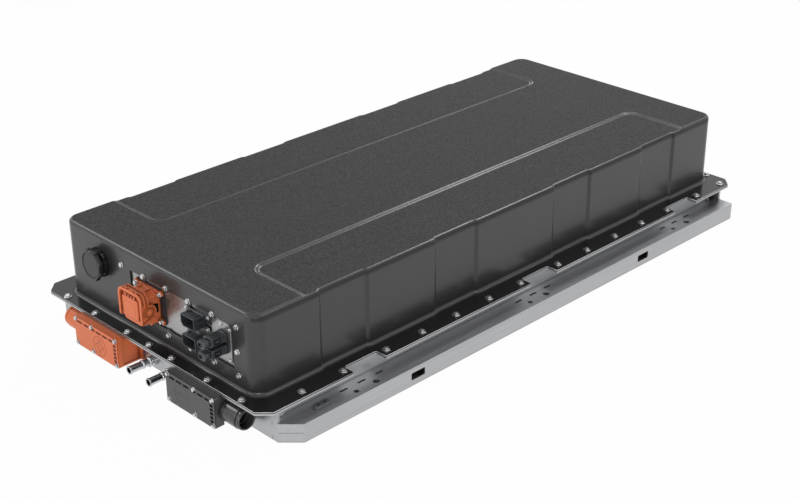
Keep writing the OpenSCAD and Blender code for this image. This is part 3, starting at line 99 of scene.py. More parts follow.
class Coat(Nodes):  # one procedural finish
    names = {"colour": "Base Color", "rough": "Roughness", "metal": "Metallic",
        "coatRough": "Coat Roughness", "specular": "Specular IOR Level"}

    def __init__(self, name, **fixed):
        self.material = bpy.data.materials.new(name)
        self.material.use_nodes = True
        super().__init__(self.material.node_tree)
        self.shader = self.tree.nodes["Principled BSDF"]
        for key, value in fixed.items():
            self.shader.inputs[self.names[key]].default_value = (*value, 1) if key == "colour" else value
        self.place = self.node("ShaderNodeTexCoord", output="Object")

    def feed(self, name, wire):
        self.tree.links.new(wire.socket, self.shader.inputs[name])

    def noise(self, scale, detail=2.0, stretch=(1, 1, 1)):
        spot = self.place
        if stretch != (1, 1, 1):
            spot = self.node("ShaderNodeVectorMath", {"operation": "MULTIPLY"}, {0: spot, 1: stretch})
        return self.node("ShaderNodeTexNoise", {}, {"Vector": spot, "Scale": scale, "Detail": detail}, "Fac")

    def ramp(self, wire, stops):
        return self.node("ShaderNodeValToRGB", {"stops": stops}, {"Fac": wire}, "Color")

    def mix(self, share, first, second):
        colours = [(*value, 1) if isinstance(value, tuple) else value for value in (first, second)]
        return self.node("ShaderNodeMix", {"data_type": "RGBA"}, {0: share, 6: colours[0], 7: colours[1]}, 2)

    def axis(self, name, source="Object"):
        spot = self.place if source == "Object" else self.node("ShaderNodeNewGeometry", output=source)
        return self.node("ShaderNodeSeparateXYZ", {}, {0: spot}, name)

    def open(self, reach):  # 1 in the open, less in gaps and corners nearer than reach: the mask that paints shade into the colour
        return self.node("ShaderNodeAmbientOcclusion", {"samples": 4}, {"Distance": reach}, "AO")

    def bump(self, height, strength, distance):
        self.feed("Normal", self.node("ShaderNodeBump", {},
            {"Height": height, "Strength": strength, "Distance": distance}, "Normal"))


def shade(colour, factor):
    return tuple(min(1, c * factor) for c in colour)


def coverCoat():  # satin powder coat: pebbled and dull on top, smoother and glossier on the walls; painted shade makes the walls darker than the top and darkens the corners, and a painted dark reflection runs along the rolled edges
    look = {"colour": (0.042, 0.042, 0.0425), "grain": 300, "dark": 0.4, "light": 1.75, "mottle": 5,
        "mottleShade": 0.85, "paintedWallShade": 0.6, "paintedCornerShade": 0.12, "reach": 0.06, "level": 0.985,
        "wallGloss": 0.55, "glossLost": 0.52, "wallRough": 0.4, "roughAdded": 0.42, "brim": 0.23,
        "brimHigh": 0.018}
    coat = Coat("coverCoat", specular=0.3, coatRough=0.2)
    onTop = coat.axis("Z", "True Normal").over(look["level"])
    grain = coat.noise(look["grain"], 3)
    mottle = coat.noise(look["mottle"], 2)
    speck = coat.ramp(grain, [(0.36, shade(look["colour"], look["dark"])),
        (0.64, shade(look["colour"], look["light"]))])
    # painted shade: the walls take a darker copy of the colour than the top, standing in for the light that
    # falls mostly on the top
    plain = coat.mix(onTop, shade(look["colour"], look["paintedWallShade"]), speck)
    face = coat.mix(mottle * 0.3, plain, shade(look["colour"], look["mottleShade"]))
    sideways = coat.axis("X", "True Normal")
    band = coat.ramp((coat.axis("Z") - look["brim"]) / look["brimHigh"],
        [(0.05, 0.0), (0.35, 1.0), (0.66, 1.0), (0.8, 0.0)])
    rim = (sideways * sideways).over(0.3) * band  # painted dark reflection: the band along the rolled edge of the long walls, darker in colour and with less coat
    # painted shade: the colour goes darker in corners and at the foot of the walls, where shade falls, and
    # darker still in the painted dark band of the rolled edges
    clear = coat.open(look["reach"])
    coat.feed("Base Color", coat.mix(clear * clear * (1 - rim * 0.7),
        shade(look["colour"], look["paintedCornerShade"]), face))
    coat.feed("Coat Weight", (look["wallGloss"] - onTop * look["glossLost"]) * (1 - rim * 0.8))
    coat.feed("Roughness", grain * 0.1 + onTop * look["roughAdded"] + look["wallRough"])
    coat.bump(grain * (onTop * 0.85 + 0.15), 0.25, 0.0004)
    return coat.material


def flangeCoat():  # the same sheet's flange: glossy black on top, bare metal on the cut edge
    look = {"black": (0.010, 0.010, 0.011), "blackLight": (0.016, 0.016, 0.017), "bare": (0.52, 0.53, 0.54),
        "rough": 0.2, "edgeBelow": 0.3, "grain": 900}
    coat = Coat("flangeCoat", specular=0.35)
    edge = coat.axis("Z", "True Normal")
    bare = (edge * edge).under(look["edgeBelow"])
    fine = coat.noise(look["grain"], 2)
    coat.feed("Base Color", coat.mix(bare, coat.mix(fine, look["black"], look["blackLight"]), look["bare"]))
    coat.feed("Metallic", bare * 0.8)
    coat.feed("Roughness", bare * 0.15 + look["rough"])
    coat.bump(fine, 0.08, 0.0003)
    return coat.material


def metal(name, colour, rough, grain=(1, 1, 1), metalness=0.85, scale=160, depth=0.12):
    look = {"dark": 0.86, "light": 1.08, "cloud": 9, "cloudShade": 0.93, "gap": 0.006, "paintedGapShade": 0.3}
    coat = Coat(name, metal=metalness)
    streak = coat.noise(scale, 4, grain)
    cloud = coat.noise(look["cloud"], 3)
    face = coat.mix(cloud, coat.ramp(streak, [(0.3, shade(colour, look["dark"])),
        (0.7, shade(colour, look["light"]))]), shade(colour, look["cloudShade"]))
    # painted shade: the colour darkens in narrow gaps and corners, where shade falls
    coat.feed("Base Color", coat.mix(coat.open(look["gap"]), shade(colour, look["paintedGapShade"]), face))
    coat.feed("Roughness", streak * 0.16 + cloud * 0.08 + (rough - 0.12))
    coat.bump(streak, depth, 0.0002)
    return coat.material


def plastic(name, colour, rough, specular=0.5):
    look = {"grain": 900, "contrast": 0.12, "cloud": 30, "cloudShade": 0.88, "gap": 0.007, "paintedGapShade": 0.22}
    coat = Coat(name, specular=specular)
    fine = coat.noise(look["grain"], 2)
    cloud = coat.noise(look["cloud"], 2)
    face = coat.mix(cloud * 0.5, coat.ramp(fine, [(0.3, shade(colour, 1 - look["contrast"])),
        (0.7, shade(colour, 1 + look["contrast"]))]), shade(colour, look["cloudShade"]))
    # painted shade: the colour darkens in narrow gaps and corners, where shade falls
    clear = coat.open(look["gap"])
    coat.feed("Base Color", coat.mix(clear * clear, shade(colour, look["paintedGapShade"]), face))
    coat.feed("Roughness", fine * 0.12 + (rough - 0.06))
    coat.bump(fine, 0.15, 0.0003)
    return coat.material


# The record's material slots first, then the finishes of pieces that differ from their slot
coats = {
    "cover_coat": coverCoat(),
    "rail_aluminium": metal("railAluminium", (0.46, 0.465, 0.475), 0.36, (1, 0.02, 1), 0.92),
    "sheet_aluminium": metal("sheetAluminium", (0.40, 0.402, 0.405), 0.3, (1, 0.05, 1), 0.9),
    "locator_grey": metal("locatorGrey", (0.16, 0.163, 0.17), 0.45, metalness=0.5),
    "zinc_steel": metal("zincSteel", (0.66, 0.66, 0.67), 0.25, metalness=0.95, scale=500),
    "seal_rubber": plastic("sealRubber", (0.02, 0.02, 0.021), 0.6),
    "orange_plastic": plastic("orangePlastic", (0.82, 0.195, 0.068), 0.36, specular=0.35),
    "black_plastic": plastic("blackPlastic", (0.040, 0.045, 0.052), 0.33),
    "vent_plastic": plastic("ventPlastic", (0.014, 0.014, 0.015), 0.34),
    "membrane_white": plastic("membraneWhite", (0.7, 0.7, 0.68), 0.8),
    "pipe_steel": metal("pipeSteel", (0.55, 0.565, 0.585), 0.16, metalness=1.0, scale=300, depth=0.05),
    "contact_brass": metal("contactBrass", (0.72, 0.5, 0.2), 0.25, metalness=1.0),
    "busbar_copper": metal("busbarCopper", (0.72, 0.33, 0.17), 0.3, metalness=1.0),
    "cell_wrap": plastic("cellWrap", (0.03, 0.1, 0.32), 0.25),
    "pad_grey": plastic("padGrey", (0.3, 0.3, 0.29), 0.8),
    "cover_plastic": plastic("coverPlastic", (0.7, 0.7, 0.69), 0.5),
    "board_green": plastic("boardGreen", (0.02, 0.16, 0.06), 0.35),
    "ceramic_cream": plastic("ceramicCream", (0.7, 0.66, 0.52), 0.4),
    "flange_black": flangeCoat(),
    "gland_black": plastic("glandBlack", (0.05, 0.05, 0.051), 0.2),
    # painted shade: a darker orange for the sign lines, a deep orange for the pocket floors, and a
    # near-black for the pockets, gaps, ports and bores that lie in shade
    "orange_sign_shade": plastic("orangeSignShade", (0.5, 0.09, 0.03), 0.4, specular=0.3),
    "orange_pocket_shade": plastic("orangePocketShade", (0.13, 0.025, 0.01), 0.6, specular=0.2),
    "painted_shade_black": plastic("paintedShadeBlack", (0.003, 0.003, 0.003), 0.9, specular=0.1),
    "box_black": plastic("boxBlack", (0.062, 0.062, 0.064), 0.4)}
greyer = ("hv_neg_housing", "hv_neg_cover")
for part in frame["record"]["subparts"]:
    finish = "box_black" if part["node"] in greyer else part["material_slot"]
    nodes[part["node"]].data.materials.clear()
    nodes[part["node"]].data.materials.append(coats[finish])
print("finishes made:", len(coats))


# Outlines in the plane, in millimetres, anticlockwise
def arc(x, y, r, start, end, steps):
    turn = [math.radians(start + (end - start) * i / steps) for i in range(steps + 1)]
    return [(x + r * math.cos(a), y + r * math.sin(a)) for a in turn]


def roundRect(w, h, r, steps=6, x=0, y=0):
    a, b = w / 2 - r, h / 2 - r
    return [p for cx, cy, start in ((a, b, 0), (-a, b, 90), (-a, -b, 180), (a, -b, 270))
        for p in arc(x + cx, y + cy, r, start, start + 90, steps)]


def circle(r, steps=32):
    return arc(0, 0, r, 0, 360 - 360 / steps, steps - 1)


def hexagon(flats):
    r = flats / 2 / math.cos(math.pi / 6)
    return [(r * math.cos(math.radians(a)), r * math.sin(math.radians(a))) for a in range(0, 360, 60)]


def rounded(points, r, steps=3):  # a convex outline, anticlockwise, with its corners rounded
    bent = []
    for before, here, after in zip(points[-1:] + points[:-1], points, points[1:] + points[:1]):
        a, b, c = Vector(before), Vector(here), Vector(after)
        into, away = (b - a).normalized(), (c - b).normalized()
        turn = into.angle_signed(away) * -1
        centre = b + (away - into).normalized() * r / math.cos(turn / 2)
        start = math.degrees(math.atan2(into.y, into.x)) - 90
        bent += arc(centre.x, centre.y, r, start, start + math.degrees(turn), steps)
    return bent


def facing(x, y, z, way="front"):  # where a flat outline stands: its third axis points out of the face
    columns = {"front": ((1, 0, 0), (0, 0, 1), (0, -1, 0)), "up": ((1, 0, 0), (0, 1, 0), (0, 0, 1)),
        "right": ((0, 1, 0), (0, 0, 1), (1, 0, 0)), "left": ((0, -1, 0), (0, 0, 1), (-1, 0, 0))}[way]
    turn = Matrix(columns).transposed().to_4x4()
    return Matrix.Translation((x, y, z)) @ turn


class Form:  # a mesh built in millimetres
    def __init__(self):
        self.mesh = bmesh.new()

    def row(self, points, place=Matrix()):
        return [self.mesh.verts.new(place @ Vector(point)) for point in points]

    def skin(self, rows, closed):
        for a, b in zip(rows, rows[1:]):
            for i in range(len(a) if closed else len(a) - 1):
                j = (i + 1) % len(a)
                self.mesh.faces.new((a[i], a[j], b[j], b[i]))

    def loft(self, layers, place):  # closed outlines, each at its own height, capped at both ends
        rows = [self.row([(x, y, high) for x, y in outline], place) for outline, high in layers]
        self.skin(rows, True)
        self.mesh.faces.new(rows[-1])
        self.mesh.faces.new(rows[0][::-1])
        return self

    def prism(self, outline, low, high, place):
        return self.loft([(outline, low), (outline, high)], place)

    def lathe(self, profile, place, steps=40, closed=False):  # profile of (radius, height)
        rows = [self.row([(x, y, h) for x, y in circle(r, steps)] if r else [(0, 0, h)], place)
            for r, h in profile]
        if closed:
            rows.append(rows[0])
        for a, b in zip(rows, rows[1:]):
            for i in range(steps):
                j = (i + 1) % steps
                face = [a[i % len(a)], a[j % len(a)], b[j % len(b)], b[i % len(b)]]
                face = [v for n, v in enumerate(face) if v not in face[:n]]
                if len(face) > 2:
                    self.mesh.faces.new(face)
        return self

    def settle(self, name, finish):  # the mesh in metres as an object with its finish
        bmesh.ops.scale(self.mesh, vec=(0.001, 0.001, 0.001), verts=self.mesh.verts)
        bmesh.ops.recalc_face_normals(self.mesh, faces=self.mesh.faces)
        data = bpy.data.meshes.new(name)
        self.mesh.to_mesh(data)
        self.mesh.free()
        data.materials.append(finish)
        return addObject(name, data)

    def done(self, name, slotName, replaces=(), body="pack", edge=0.0, steps=2, coat=None, smooth=True):
        made = self.settle(name, coats[coat or slotName])
        if smooth:
            made.data.shade_smooth()
        if edge:
            bevel = made.modifiers.new("edge", "BEVEL")
            bevel.width, bevel.segments, bevel.limit_method = edge * 0.001, steps, "ANGLE"
            bevel.angle_limit = math.radians(35)
        if smooth:
            made.data.set_sharp_from_angle(angle=math.radians(48))
            made.modifiers.new("flatness", "WEIGHTED_NORMAL").keep_sharp = True
        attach(made, body)
        if replaces:
            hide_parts(*replaces)
        return made


def addObject(name, data):
    made = bpy.data.objects.new(name, data)
    bpy.context.collection.objects.link(made)
    return made


def settledMesh(holder):  # what the holder's modifiers or curve come to, as a plain mesh
    bpy.context.view_layer.update()
    return bpy.data.meshes.new_from_object(holder.evaluated_get(bpy.context.evaluated_depsgraph_get()))


# The lid: pressed sheet with bays along its sides and a lowered zone on each side of its top
lid = {"halfX": 308, "halfY": 717, "high": 247.8, "corner": 30, "topRound": 8, "baseRound": 8,
    "flangeTop": 77.2, "sheet": 2, "bays": (-496, -184.5, 184.5, 496), "bayWide": 122, "bayDeep": 4,
    "bayRamp": 10, "zoneHalf": 597, "zoneX": 144, "zoneDeep": 3, "zoneRamp": 10, "zoneRound": 32,
    "rampSteps": 14, "cornerSteps": 14}


def ease(t):
    t = min(1, max(0, t))
    return t * t * (3 - 2 * t)


def zoneFall(t):  # the pressed edge of a lowered zone goes down in two small steps
    return (ease(t / 0.36) + ease((t - 0.64) / 0.36)) / 2


def bayShare(y):
    near = min(abs(y - c) for c in lid["bays"])
    return ease((lid["bayWide"] / 2 + lid["bayRamp"] / 2 - near) / lid["bayRamp"])


rampSteps, cornerSteps = lid["rampSteps"], lid["cornerSteps"]
rampAt = [i / rampSteps for i in range(rampSteps + 1)]
frontRamp = [-lid["zoneHalf"] + lid["zoneRamp"] * t for t in rampAt]
bayStops = sorted(c + e * (lid["bayWide"] / 2) + lid["bayRamp"] * (t - 0.5)
    for c in lid["bays"] for e in (-1, 1) for t in rampAt)
sideY = frontRamp + bayStops + [-y for y in reversed(frontRamp)]
sideShare = [zoneFall(t) for t in rampAt] + [1] * len(bayStops) + [zoneFall(t) for t in reversed(rampAt)]


def lidRing(grow, height, sunk):
    half = []
    for side in (-1, 1):
        start = -90 if side < 0 else 0
        bend = [(x, y, 0) for x, y in arc(lid["halfX"] - lid["corner"],
            side * (lid["halfY"] - lid["corner"]), lid["corner"] + grow, start, start + 90, cornerSteps)]
        flank = [(lid["halfX"] + grow - lid["bayDeep"] * bayShare(y), y, s)
            for y, s in zip(sideY, sideShare)]
        half += bend + (flank if side < 0 else [])
    whole = half + [(-x, -y, s) for x, y, s in half]
    return [(x, y, height - sunk * lid["zoneDeep"] * s) for x, y, s in whole]


def zoneRow(t, top):  # the edge of the lowered zone, t from its brink to its foot
    r, inner = lid["zoneRound"] - lid["zoneRamp"] * t, lid["zoneX"] + lid["zoneRound"]
    end = lid["zoneHalf"] - lid["zoneRound"]
    turn = arc(inner, -end, r, 270, 180, 10) + arc(inner, end, r, 180, 90, 10)
    return [(x, y, top - lid["zoneDeep"] * zoneFall(t)) for x, y in turn]


def lidSkin(form, baseR, topR, top):
    angles = [math.radians(10 * i) for i in range(10)]
    rings = [lidRing(lid["baseRound"] - baseR * math.cos(a), lid["flangeTop"] + lid["baseRound"]
        - baseR * math.sin(a), 0) for a in reversed(angles)]
    rings += [lidRing(-lid["topRound"] + topR * math.cos(a), lid["high"] - lid["topRound"]
        + topR * math.sin(a), 1) for a in angles]
    rows = [form.row(ring) for ring in rings]
    form.skin(rows, True)
    last, half, flank = rows[-1], len(rows[-1]) // 2, len(sideY)
    brinks, ends = [], []
    for side, mirror in ((0, 1), (1, -1)):
        first = side * half + cornerSteps + 1
        edge = [[last[first + k]] + form.row([(x * mirror, y * mirror, z) for x, y, z in zoneRow(t, top)])
            + [last[first + flank - 1 - k]] for k, t in enumerate(rampAt)]
        form.skin(edge[::-1], False)
        form.mesh.faces.new(edge[-1][::-1] + last[first + rampSteps + 1:first + flank - rampSteps - 1])
        brinks.append(edge[0])
        ends.append([last[(first + flank + i) % (2 * half)] for i in range(2 * cornerSteps + 2)])
    form.mesh.faces.new(brinks[0] + ends[0] + brinks[1] + ends[1])
    return rows[0]


# The screws round the connector panel, and the window that the lid leaves inside them
panel = {"columns": [75 + 72.2 * i for i in (-2.5, -1.5, -0.5, 0.5, 1.5, 2.5)], "low": 106, "high": 209,
    "middle": 157.5, "wall": -717}
panel["points"] = [(x, z) for x in panel["columns"] for z in (panel["low"], panel["high"])] \
    + [(panel["columns"][0], panel["middle"]), (panel["columns"][5], panel["middle"])]
opening = {"left": -79, "right": 243, "low": 116.5, "high": 207, "corner": 8, "lowLand": 13, "highLand": 9}


def openingOutline():  # a land is left round each screw
    left, right, low, high, corner, lowLand, highLand = opening.values()
    columns = panel["columns"][1:5]
    sunk = math.degrees(math.asin((low - panel["low"]) / lowLand))
    risen = math.degrees(math.asin((panel["high"] - high) / highLand))
    points = [(left, low)]
    for x in columns:
        points += arc(x, panel["low"], lowLand, 180 - sunk, sunk, 10)
    points += [(right, low), (right, high - corner), (right - corner, high)]
    for x in reversed(columns):
        points += arc(x, panel["high"], highLand, -risen, -(180 - risen), 8)
    return points + [(left, high)]


def makeLid():
    form = Form()
    outer = lidSkin(form, lid["baseRound"], lid["topRound"], lid["high"])
    inner = lidSkin(form, lid["baseRound"] + lid["sheet"], lid["topRound"] - lid["sheet"],
        lid["high"] - lid["sheet"])
    for i in range(len(outer)):
        j = (i + 1) % len(outer)
        form.mesh.faces.new((outer[j], outer[i], inner[i], inner[j]))
    body = form.done("lidShell", "cover_coat", ["lid"])
    cutter = Form().prism(openingOutline(), -4, 4, facing(0, -716, 0)).done("openingCutter", "cover_coat")
    cut = body.modifiers.new("opening", "BOOLEAN")
    cut.object, cut.operation, cut.solver = cutter, "DIFFERENCE", "EXACT"
    body.modifiers.move(len(body.modifiers) - 1, 0)
    settled = settledMesh(body)
    body.modifiers.clear()
    body.data = settled
    bpy.data.objects.remove(cutter)


flange = {"halfX": 361.5, "halfY": 750, "chamfer": 25, "wall": 333, "notches": (-482, 34, 549),
    "notchHalf": 43, "round": 6, "edge": 0.3}


def flangeOutline():
    x, y, cut, half, r = (flange[k] for k in ("halfX", "halfY", "chamfer", "notchHalf", "round"))
    side, bottom = [(x, cut - y)], flange["wall"] + r
    for middle in flange["notches"]:
        side += [(x, middle - half)] + arc(bottom, middle - half + r, r, 270, 180, 6) \
            + arc(bottom, middle + half - r, r, 180, 90, 6) + [(x, middle + half)]
    side += [(x, y - cut), (x - cut, y)]
    left = [(-px, py) for px, py in reversed(side)]
    return side + left + [(cut - x, -y), (x - cut, -y)]


def makeFlange():
    curve = bpy.data.curves.new("lidFlange", "CURVE")
    curve.dimensions, curve.fill_mode = "2D", "BOTH"
    rim = [(x, y) for x, y, z in lidRing(lid["baseRound"] - 0.5, 0, 0)]
    for loop in (flangeOutline(), rim):
        spline = curve.splines.new("POLY")
        spline.points.add(len(loop) - 1)
        for point, (x, y) in zip(spline.points, loop):
            point.co = (x * 0.001, y * 0.001, 0, 1)
        spline.use_cyclic_u = True
    edge, half = flange["edge"] * 0.001, lid["sheet"] / 2 * 0.001
    curve.extrude, curve.bevel_depth, curve.bevel_resolution, curve.offset = half - edge, edge, 1, -edge
    holder = addObject("flangeCurve", curve)
    mesh = settledMesh(holder)
    bpy.data.objects.remove(holder)
    mesh.transform(Matrix.Translation((0, 0, (lid["flangeTop"] - lid["sheet"] / 2) * 0.001)))
    mesh.materials.clear()
    mesh.materials.append(coats["flange_black"])
    made = addObject("lidFlange", mesh)
    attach(made, "pack")
    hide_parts("lid")


makeLid()
makeFlange()
print("lid made")


# Screws: a chamfered hexagon on a washer, at each place where the solids have one
def screwHead(form, place, flats, high, washer, washerHigh, shank):
    crown, socket = 0.9, flats * 0.22
    cap = [(x * crown, y * crown) for x, y in hexagon(flats)]
    form.lathe([(0, 0), (washer, 0), (washer, washerHigh * 0.6), (washer - washerHigh * 0.5, washerHigh),
        (0, washerHigh)], place, 24)
    form.loft([(hexagon(flats), washerHigh), (hexagon(flats), high * 0.8), (cap, high)], place)
    form.lathe([(0, high - 0.02), (socket, high - 0.02), (flats * 0.2, high + 0.25), (0, high + 0.25)],
        place, 16)
    form.lathe([(0, -shank), (flats * 0.3, -shank), (flats * 0.3, 0), (0, 0)], place, 12)


# A screw's sizes: across its flats, height of its head, radius and height of its washer, length of its shank
flangeScrew = {"sideX": 344, "endY": 739.5, "endX": (0, 73, 186, 288, -73, -186, -288),
    "sideY": (-642, -537, -422, -322, -223, -123, -24, 100, 200, 300, 399, 498, 616, 715),
    "sizes": (10, 5, 8, 1.2, 6), "dimple": [(8.5, 0), (9.1, 0.45), (9.7, 0.5), (10.4, 0)]}


def makeFlangeScrews():
    screws, dimples = Form(), Form()
    points = [(s * flangeScrew["sideX"], y) for s in (-1, 1) for y in flangeScrew["sideY"]] \
        + [(x, e * flangeScrew["endY"]) for e in (-1, 1) for x in flangeScrew["endX"]]
    for x, y in points:
        here = facing(x, y, lid["flangeTop"], "up")
        screwHead(screws, here, *flangeScrew["sizes"])
        dimples.lathe(flangeScrew["dimple"], here, 32)
    screws.done("flangeScrews", "zinc_steel", ["flange_screws"])
    dimples.done("screwDimples", "cover_coat", coat="flange_black")


disconnect = {"x": -16, "z": 160.5, "pivotY": -745.5, "wall": 715.5, "base": (64, 71), "screws": (39, 29.5)}
header = {"x": 137.5, "z": (183, 139.5), "wide": 41, "high": 25.5, "cut": 7, "screws": (33, 12),
    "shroud": ((-0.9, 717), (-0.9, 719.4), (0, 720.3), (0, 741.4), (0.5, 742), (1.6, 742), (2, 741.4),
        (2, 719.6))}
auxPlate = {"screws": [(209, 199), (233.5, 193), (187, 130), (233.5, 130)],
    "bead": [(235.5, 126), (238.4, 126), (238.4, 197), (235.5, 197)]}


def makeFrontScrews():
    corners = [(u, v) for u in (-1, 1) for v in (-1, 1)]
    (baseX, baseZ), (headerX, headerZ) = disconnect["screws"], header["screws"]
    kinds = {
        "panelScrews": {"node": "panel_screws", "sizes": (9, 4.5, 6, 1.35, 13),
            "at": [(x, panel["wall"], z) for x, z in panel["points"]]},
        "disconnectScrews": {"node": "disconnect_screws", "sizes": (8, 5, 5.5, 1.5, 8),
            "at": [(disconnect["x"] + u * baseX, -720.5, disconnect["z"] + v * baseZ) for u, v in corners]},
        "headerScrews": {"node": "lv_screws", "sizes": (6, 3, 4, 0.9, 6),
            "at": [(header["x"] + u * headerX, -717.5, z + v * headerZ)
                for z in header["z"] for u, v in corners]},
        "auxScrews": {"node": "aux_screws", "sizes": (6, 3, 4, 0.9, 6),
            "at": [(x, -716.5, z) for x, z in auxPlate["screws"]]}}
    for name, kind in kinds.items():
        form = Form()
        for spot in kind["at"]:
            screwHead(form, facing(*spot), *kind["sizes"])
        form.done(name, "zinc_steel", [kind["node"]])


makeFlangeScrews()
makeFrontScrews()
print("screws made")


# Coolant pipes: drawn tube with a collar against the beam, two beads and a lip
pipe = {"r": 8, "bore": 6.5, "inside": 36, "beamY": -710, "z": 22.5,
    "collar": [(10.5, 0.01), (10.5, 13), (9.6, 14.2)], "beads": ((17.2, 3.5, 2.2), (32, 1.3, 2.4)),
    "lip": [(9.1, 62), (9.3, 63.4), (8.9, 64.8), (7.6, 65)]}


def makePipe(name, node, x):
    r, bore, inside = pipe["r"], pipe["bore"], pipe["inside"]
    line = [(r, -inside), (r, 0)] + pipe["collar"] + [(r, 14.6)]
    for at, high, half in pipe["beads"]:
        line += [(r + high * math.sin(math.pi * i / 8) ** 0.6, at - half + 2 * half * i / 8)
            for i in range(9)]
    line += [(r, 60.5)] + pipe["lip"] + [(bore, 64.4), (bore, 20), (bore, -inside)]
    Form().lathe(line, facing(x, pipe["beamY"], pipe["z"]), 48, closed=True).done(name, "pipe_steel", [node])


makePipe("inletPipe", "coolant_inlet", -27)
makePipe("outletPipe", "coolant_outlet", 38)


# Vent valve: lugged cap over a neck, with its own four-lobed base
vent = {"x": -184.5, "z": 188, "capY": -734.2, "lugR": 32.2, "lugHalf": 4.6, "lugs": 8, "lobeOut": 26,
    "cap": [(0, 0), (25.1, 0), (25.1, -5), (30.4, -5), (31.6, -4), (32, -2), (32, 4.5), (31.2, 6.2),
        (29.5, 7), (27.6, 6.6), (27.0, 5.2), (27.0, 4.9), (26.4, 5.3), (0, 5.5)],
    "disc": [(0, 5.5), (26.2, 5.3), (26.2, 5.6), (0, 5.85)],
    "base": [(0, -18), (21.7, -18), (21.7, 1.2), (28, 1.2), (28, 8), (26.5, 9.2), (25, 9.4), (25, 17),
        (0, 17)],
    "lobe": [(0, 1.2), (7, 1.2), (7, 6.6), (6.2, 8.2), (0, 8.6)]}


def makeVent():
    front, wall = (facing(vent["x"], y, vent["z"]) for y in (vent["capY"], panel["wall"]))
    cap, r, long = Form().lathe(vent["cap"], front, 64), vent["lugR"], 2 * vent["lugHalf"]
    outer = roundRect(4.6, long, 1.8, 4, r)
    for i in range(vent["lugs"]):
        cap.loft([(roundRect(3.6, long, 1.6, 4, r - 0.4), -4.2), (outer, -3.2), (outer, 4),
            (roundRect(3.2, long - 1.5, 1.5, 4, r - 0.8), 5.6)],
            front @ Matrix.Rotation(math.radians(22.5 + 360 / vent["lugs"] * i), 4, "Z"))
    cap.done("ventCap", "vent_plastic", ["vent_cap"])
    base = Form().lathe(vent["base"], wall, 64)
    for i in range(4):
        base.lathe(vent["lobe"], wall @ Matrix.Rotation(math.radians(45 + 90 * i), 4, "Z")
            @ Matrix.Translation((vent["lobeOut"], 0, 0)), 24)
    base.done("ventBase", "vent_plastic", ["vent_base"])
    Form().lathe(vent["disc"], front, 64).done("ventDisc", "vent_plastic")


makeVent()
print("pipes and vent made")


# Service disconnect: base with four ears and a roofed tower, and the plug in it.
# From here on, heights on a face at depth 0 are distances in front of the middle of the pack.
disconnect["ears"] = {"tip": (40, 31.5), "root": (27, 27), "r": 5.6}
disconnect["tower"] = [(-31, -35), (31, -35), (31, 29), (12, 35), (-12, 35), (-31, 29)]
disconnect["latches"] = ((-14, 5), (-5, 4), (4, 4), (13, 5))


def makeBase(here):
    base, wall, ears = Form(), disconnect["wall"], disconnect["ears"]
    base.prism(roundRect(*disconnect["base"], 6), wall, 720.5, here)
    for u in (-1, 1):
        for v in (-1, 1):
            tip, root = (Vector((u * ears[k][0], v * ears[k][1])) for k in ("tip", "root"))
            lean = math.degrees(math.atan2(tip.y - root.y, tip.x - root.x))
            base.prism(arc(tip.x, tip.y, ears["r"], lean - 90, lean + 90, 10)
                + arc(root.x, root.y, ears["r"], lean + 90, lean + 270, 6), wall, 720.4, here)
    wide = rounded(disconnect["tower"], 4)
    thin = rounded([(x * 0.965, y * 0.97) for x, y in disconnect["tower"]], 4)
    base.loft([(wide, 720.4), (wide, 723.8), (thin, 724.4), (thin, 735.6), (wide, 736.2), (wide, 738.4),
        (thin, 739)], here)
    ribs = [roundRect(3, 1.8, 0.6, 2, x, 34.6) for x in (-12, 12)] \
        + [roundRect(1.8, 3, 0.6, 2, side * 30.6, z) for side in (-1, 1) for z in (20, -20)]
    for rib in ribs:
        base.prism(rib, 724, 737, here)
    base.prism(roundRect(56, 64, 5), 679.5, 715.6, here)
    base.done("disconnectBase", "orange_plastic", ["disconnect_base"], edge=0.5)


def makePlug(here):
    plug = Form()
    plug.loft([(roundRect(61, 61, 8), 739.2), (roundRect(62, 62, 8.5), 740.2), (roundRect(62, 62, 8.5), 756),
        (roundRect(59, 59, 8), 759.2), (roundRect(56, 56, 7), 760)], here)
    face = roundRect(51, 45, 4, 6, 0, 3)
    plug.loft([(face, 759.8), (face, 763.6), (roundRect(49, 43, 3.4, 6, 0, 3), 764.8),
        (roundRect(46.5, 40.5, 2.8, 6, 0, 3), 765), (roundRect(45.5, 39.5, 2.6, 6, 0, 3), 764.3)], here)
    plug.prism(roundRect(49.4, 57.4, 2.7), 700.5, 739.4, here)
    for way in ("left", "right"):  # the pins that the lever turns on
        plug.lathe([(0, 20), (5, 20), (5, 37.2), (4.3, 38), (0, 38)],
            facing(disconnect["x"], disconnect["pivotY"], disconnect["z"], way), 32)
    for x, wide in disconnect["latches"]:
        plug.prism(roundRect(wide, 6, 0.8, 2, x, 28.4), 759.5, 763.5, here)
    plug.loft([(roundRect(34, 30, 4, 6, 0, 1), 764.2), (roundRect(33.4, 29.4, 4, 6, 0, 1), 764.7)], here)
    plug.done("disconnectPlug", "orange_plastic", ["disconnect_plug"], edge=0.4)


def makeGaps(here):  # painted shadow: thin dark sheets for the openings beside the plug
    gaps = Form()
    for side in (-1, 1):
        gaps.prism(roundRect(2.4, 19, 0.6, 2, side * 30.6, 0), 716.2, 731, here)
        gaps.prism(roundRect(0.8, 14, 0.4, 2, side * 28.6, -12), 760, 762, here)
    gaps.done("disconnectShadowGaps", "seal_rubber", coat="painted_shade_black")


# The lever: a strip with three ribs, bent round the plug, and a flat boss on each leg
lever = {"half": 38, "top": 41.5, "thick": 5.6, "corner": 15, "front": -19.5, "foot": 17,
    "ribs": (0, 7.8, 15.6), "ribWide": 2.4, "groove": 3.4, "boss": 16, "tip": (-16.5, -20), "tipR": 3,
    "tipLean": -67.1, "grip": ((-17, 9, 0), (17, 9, 0), (0, 14, 0.6), (-9, 2, 0), (9, 2, 0)),
    "leg": (32.4, 35, 38), "rim": 2.4, "rings": ((12.2, 1.8), (7.6, 2.4))}


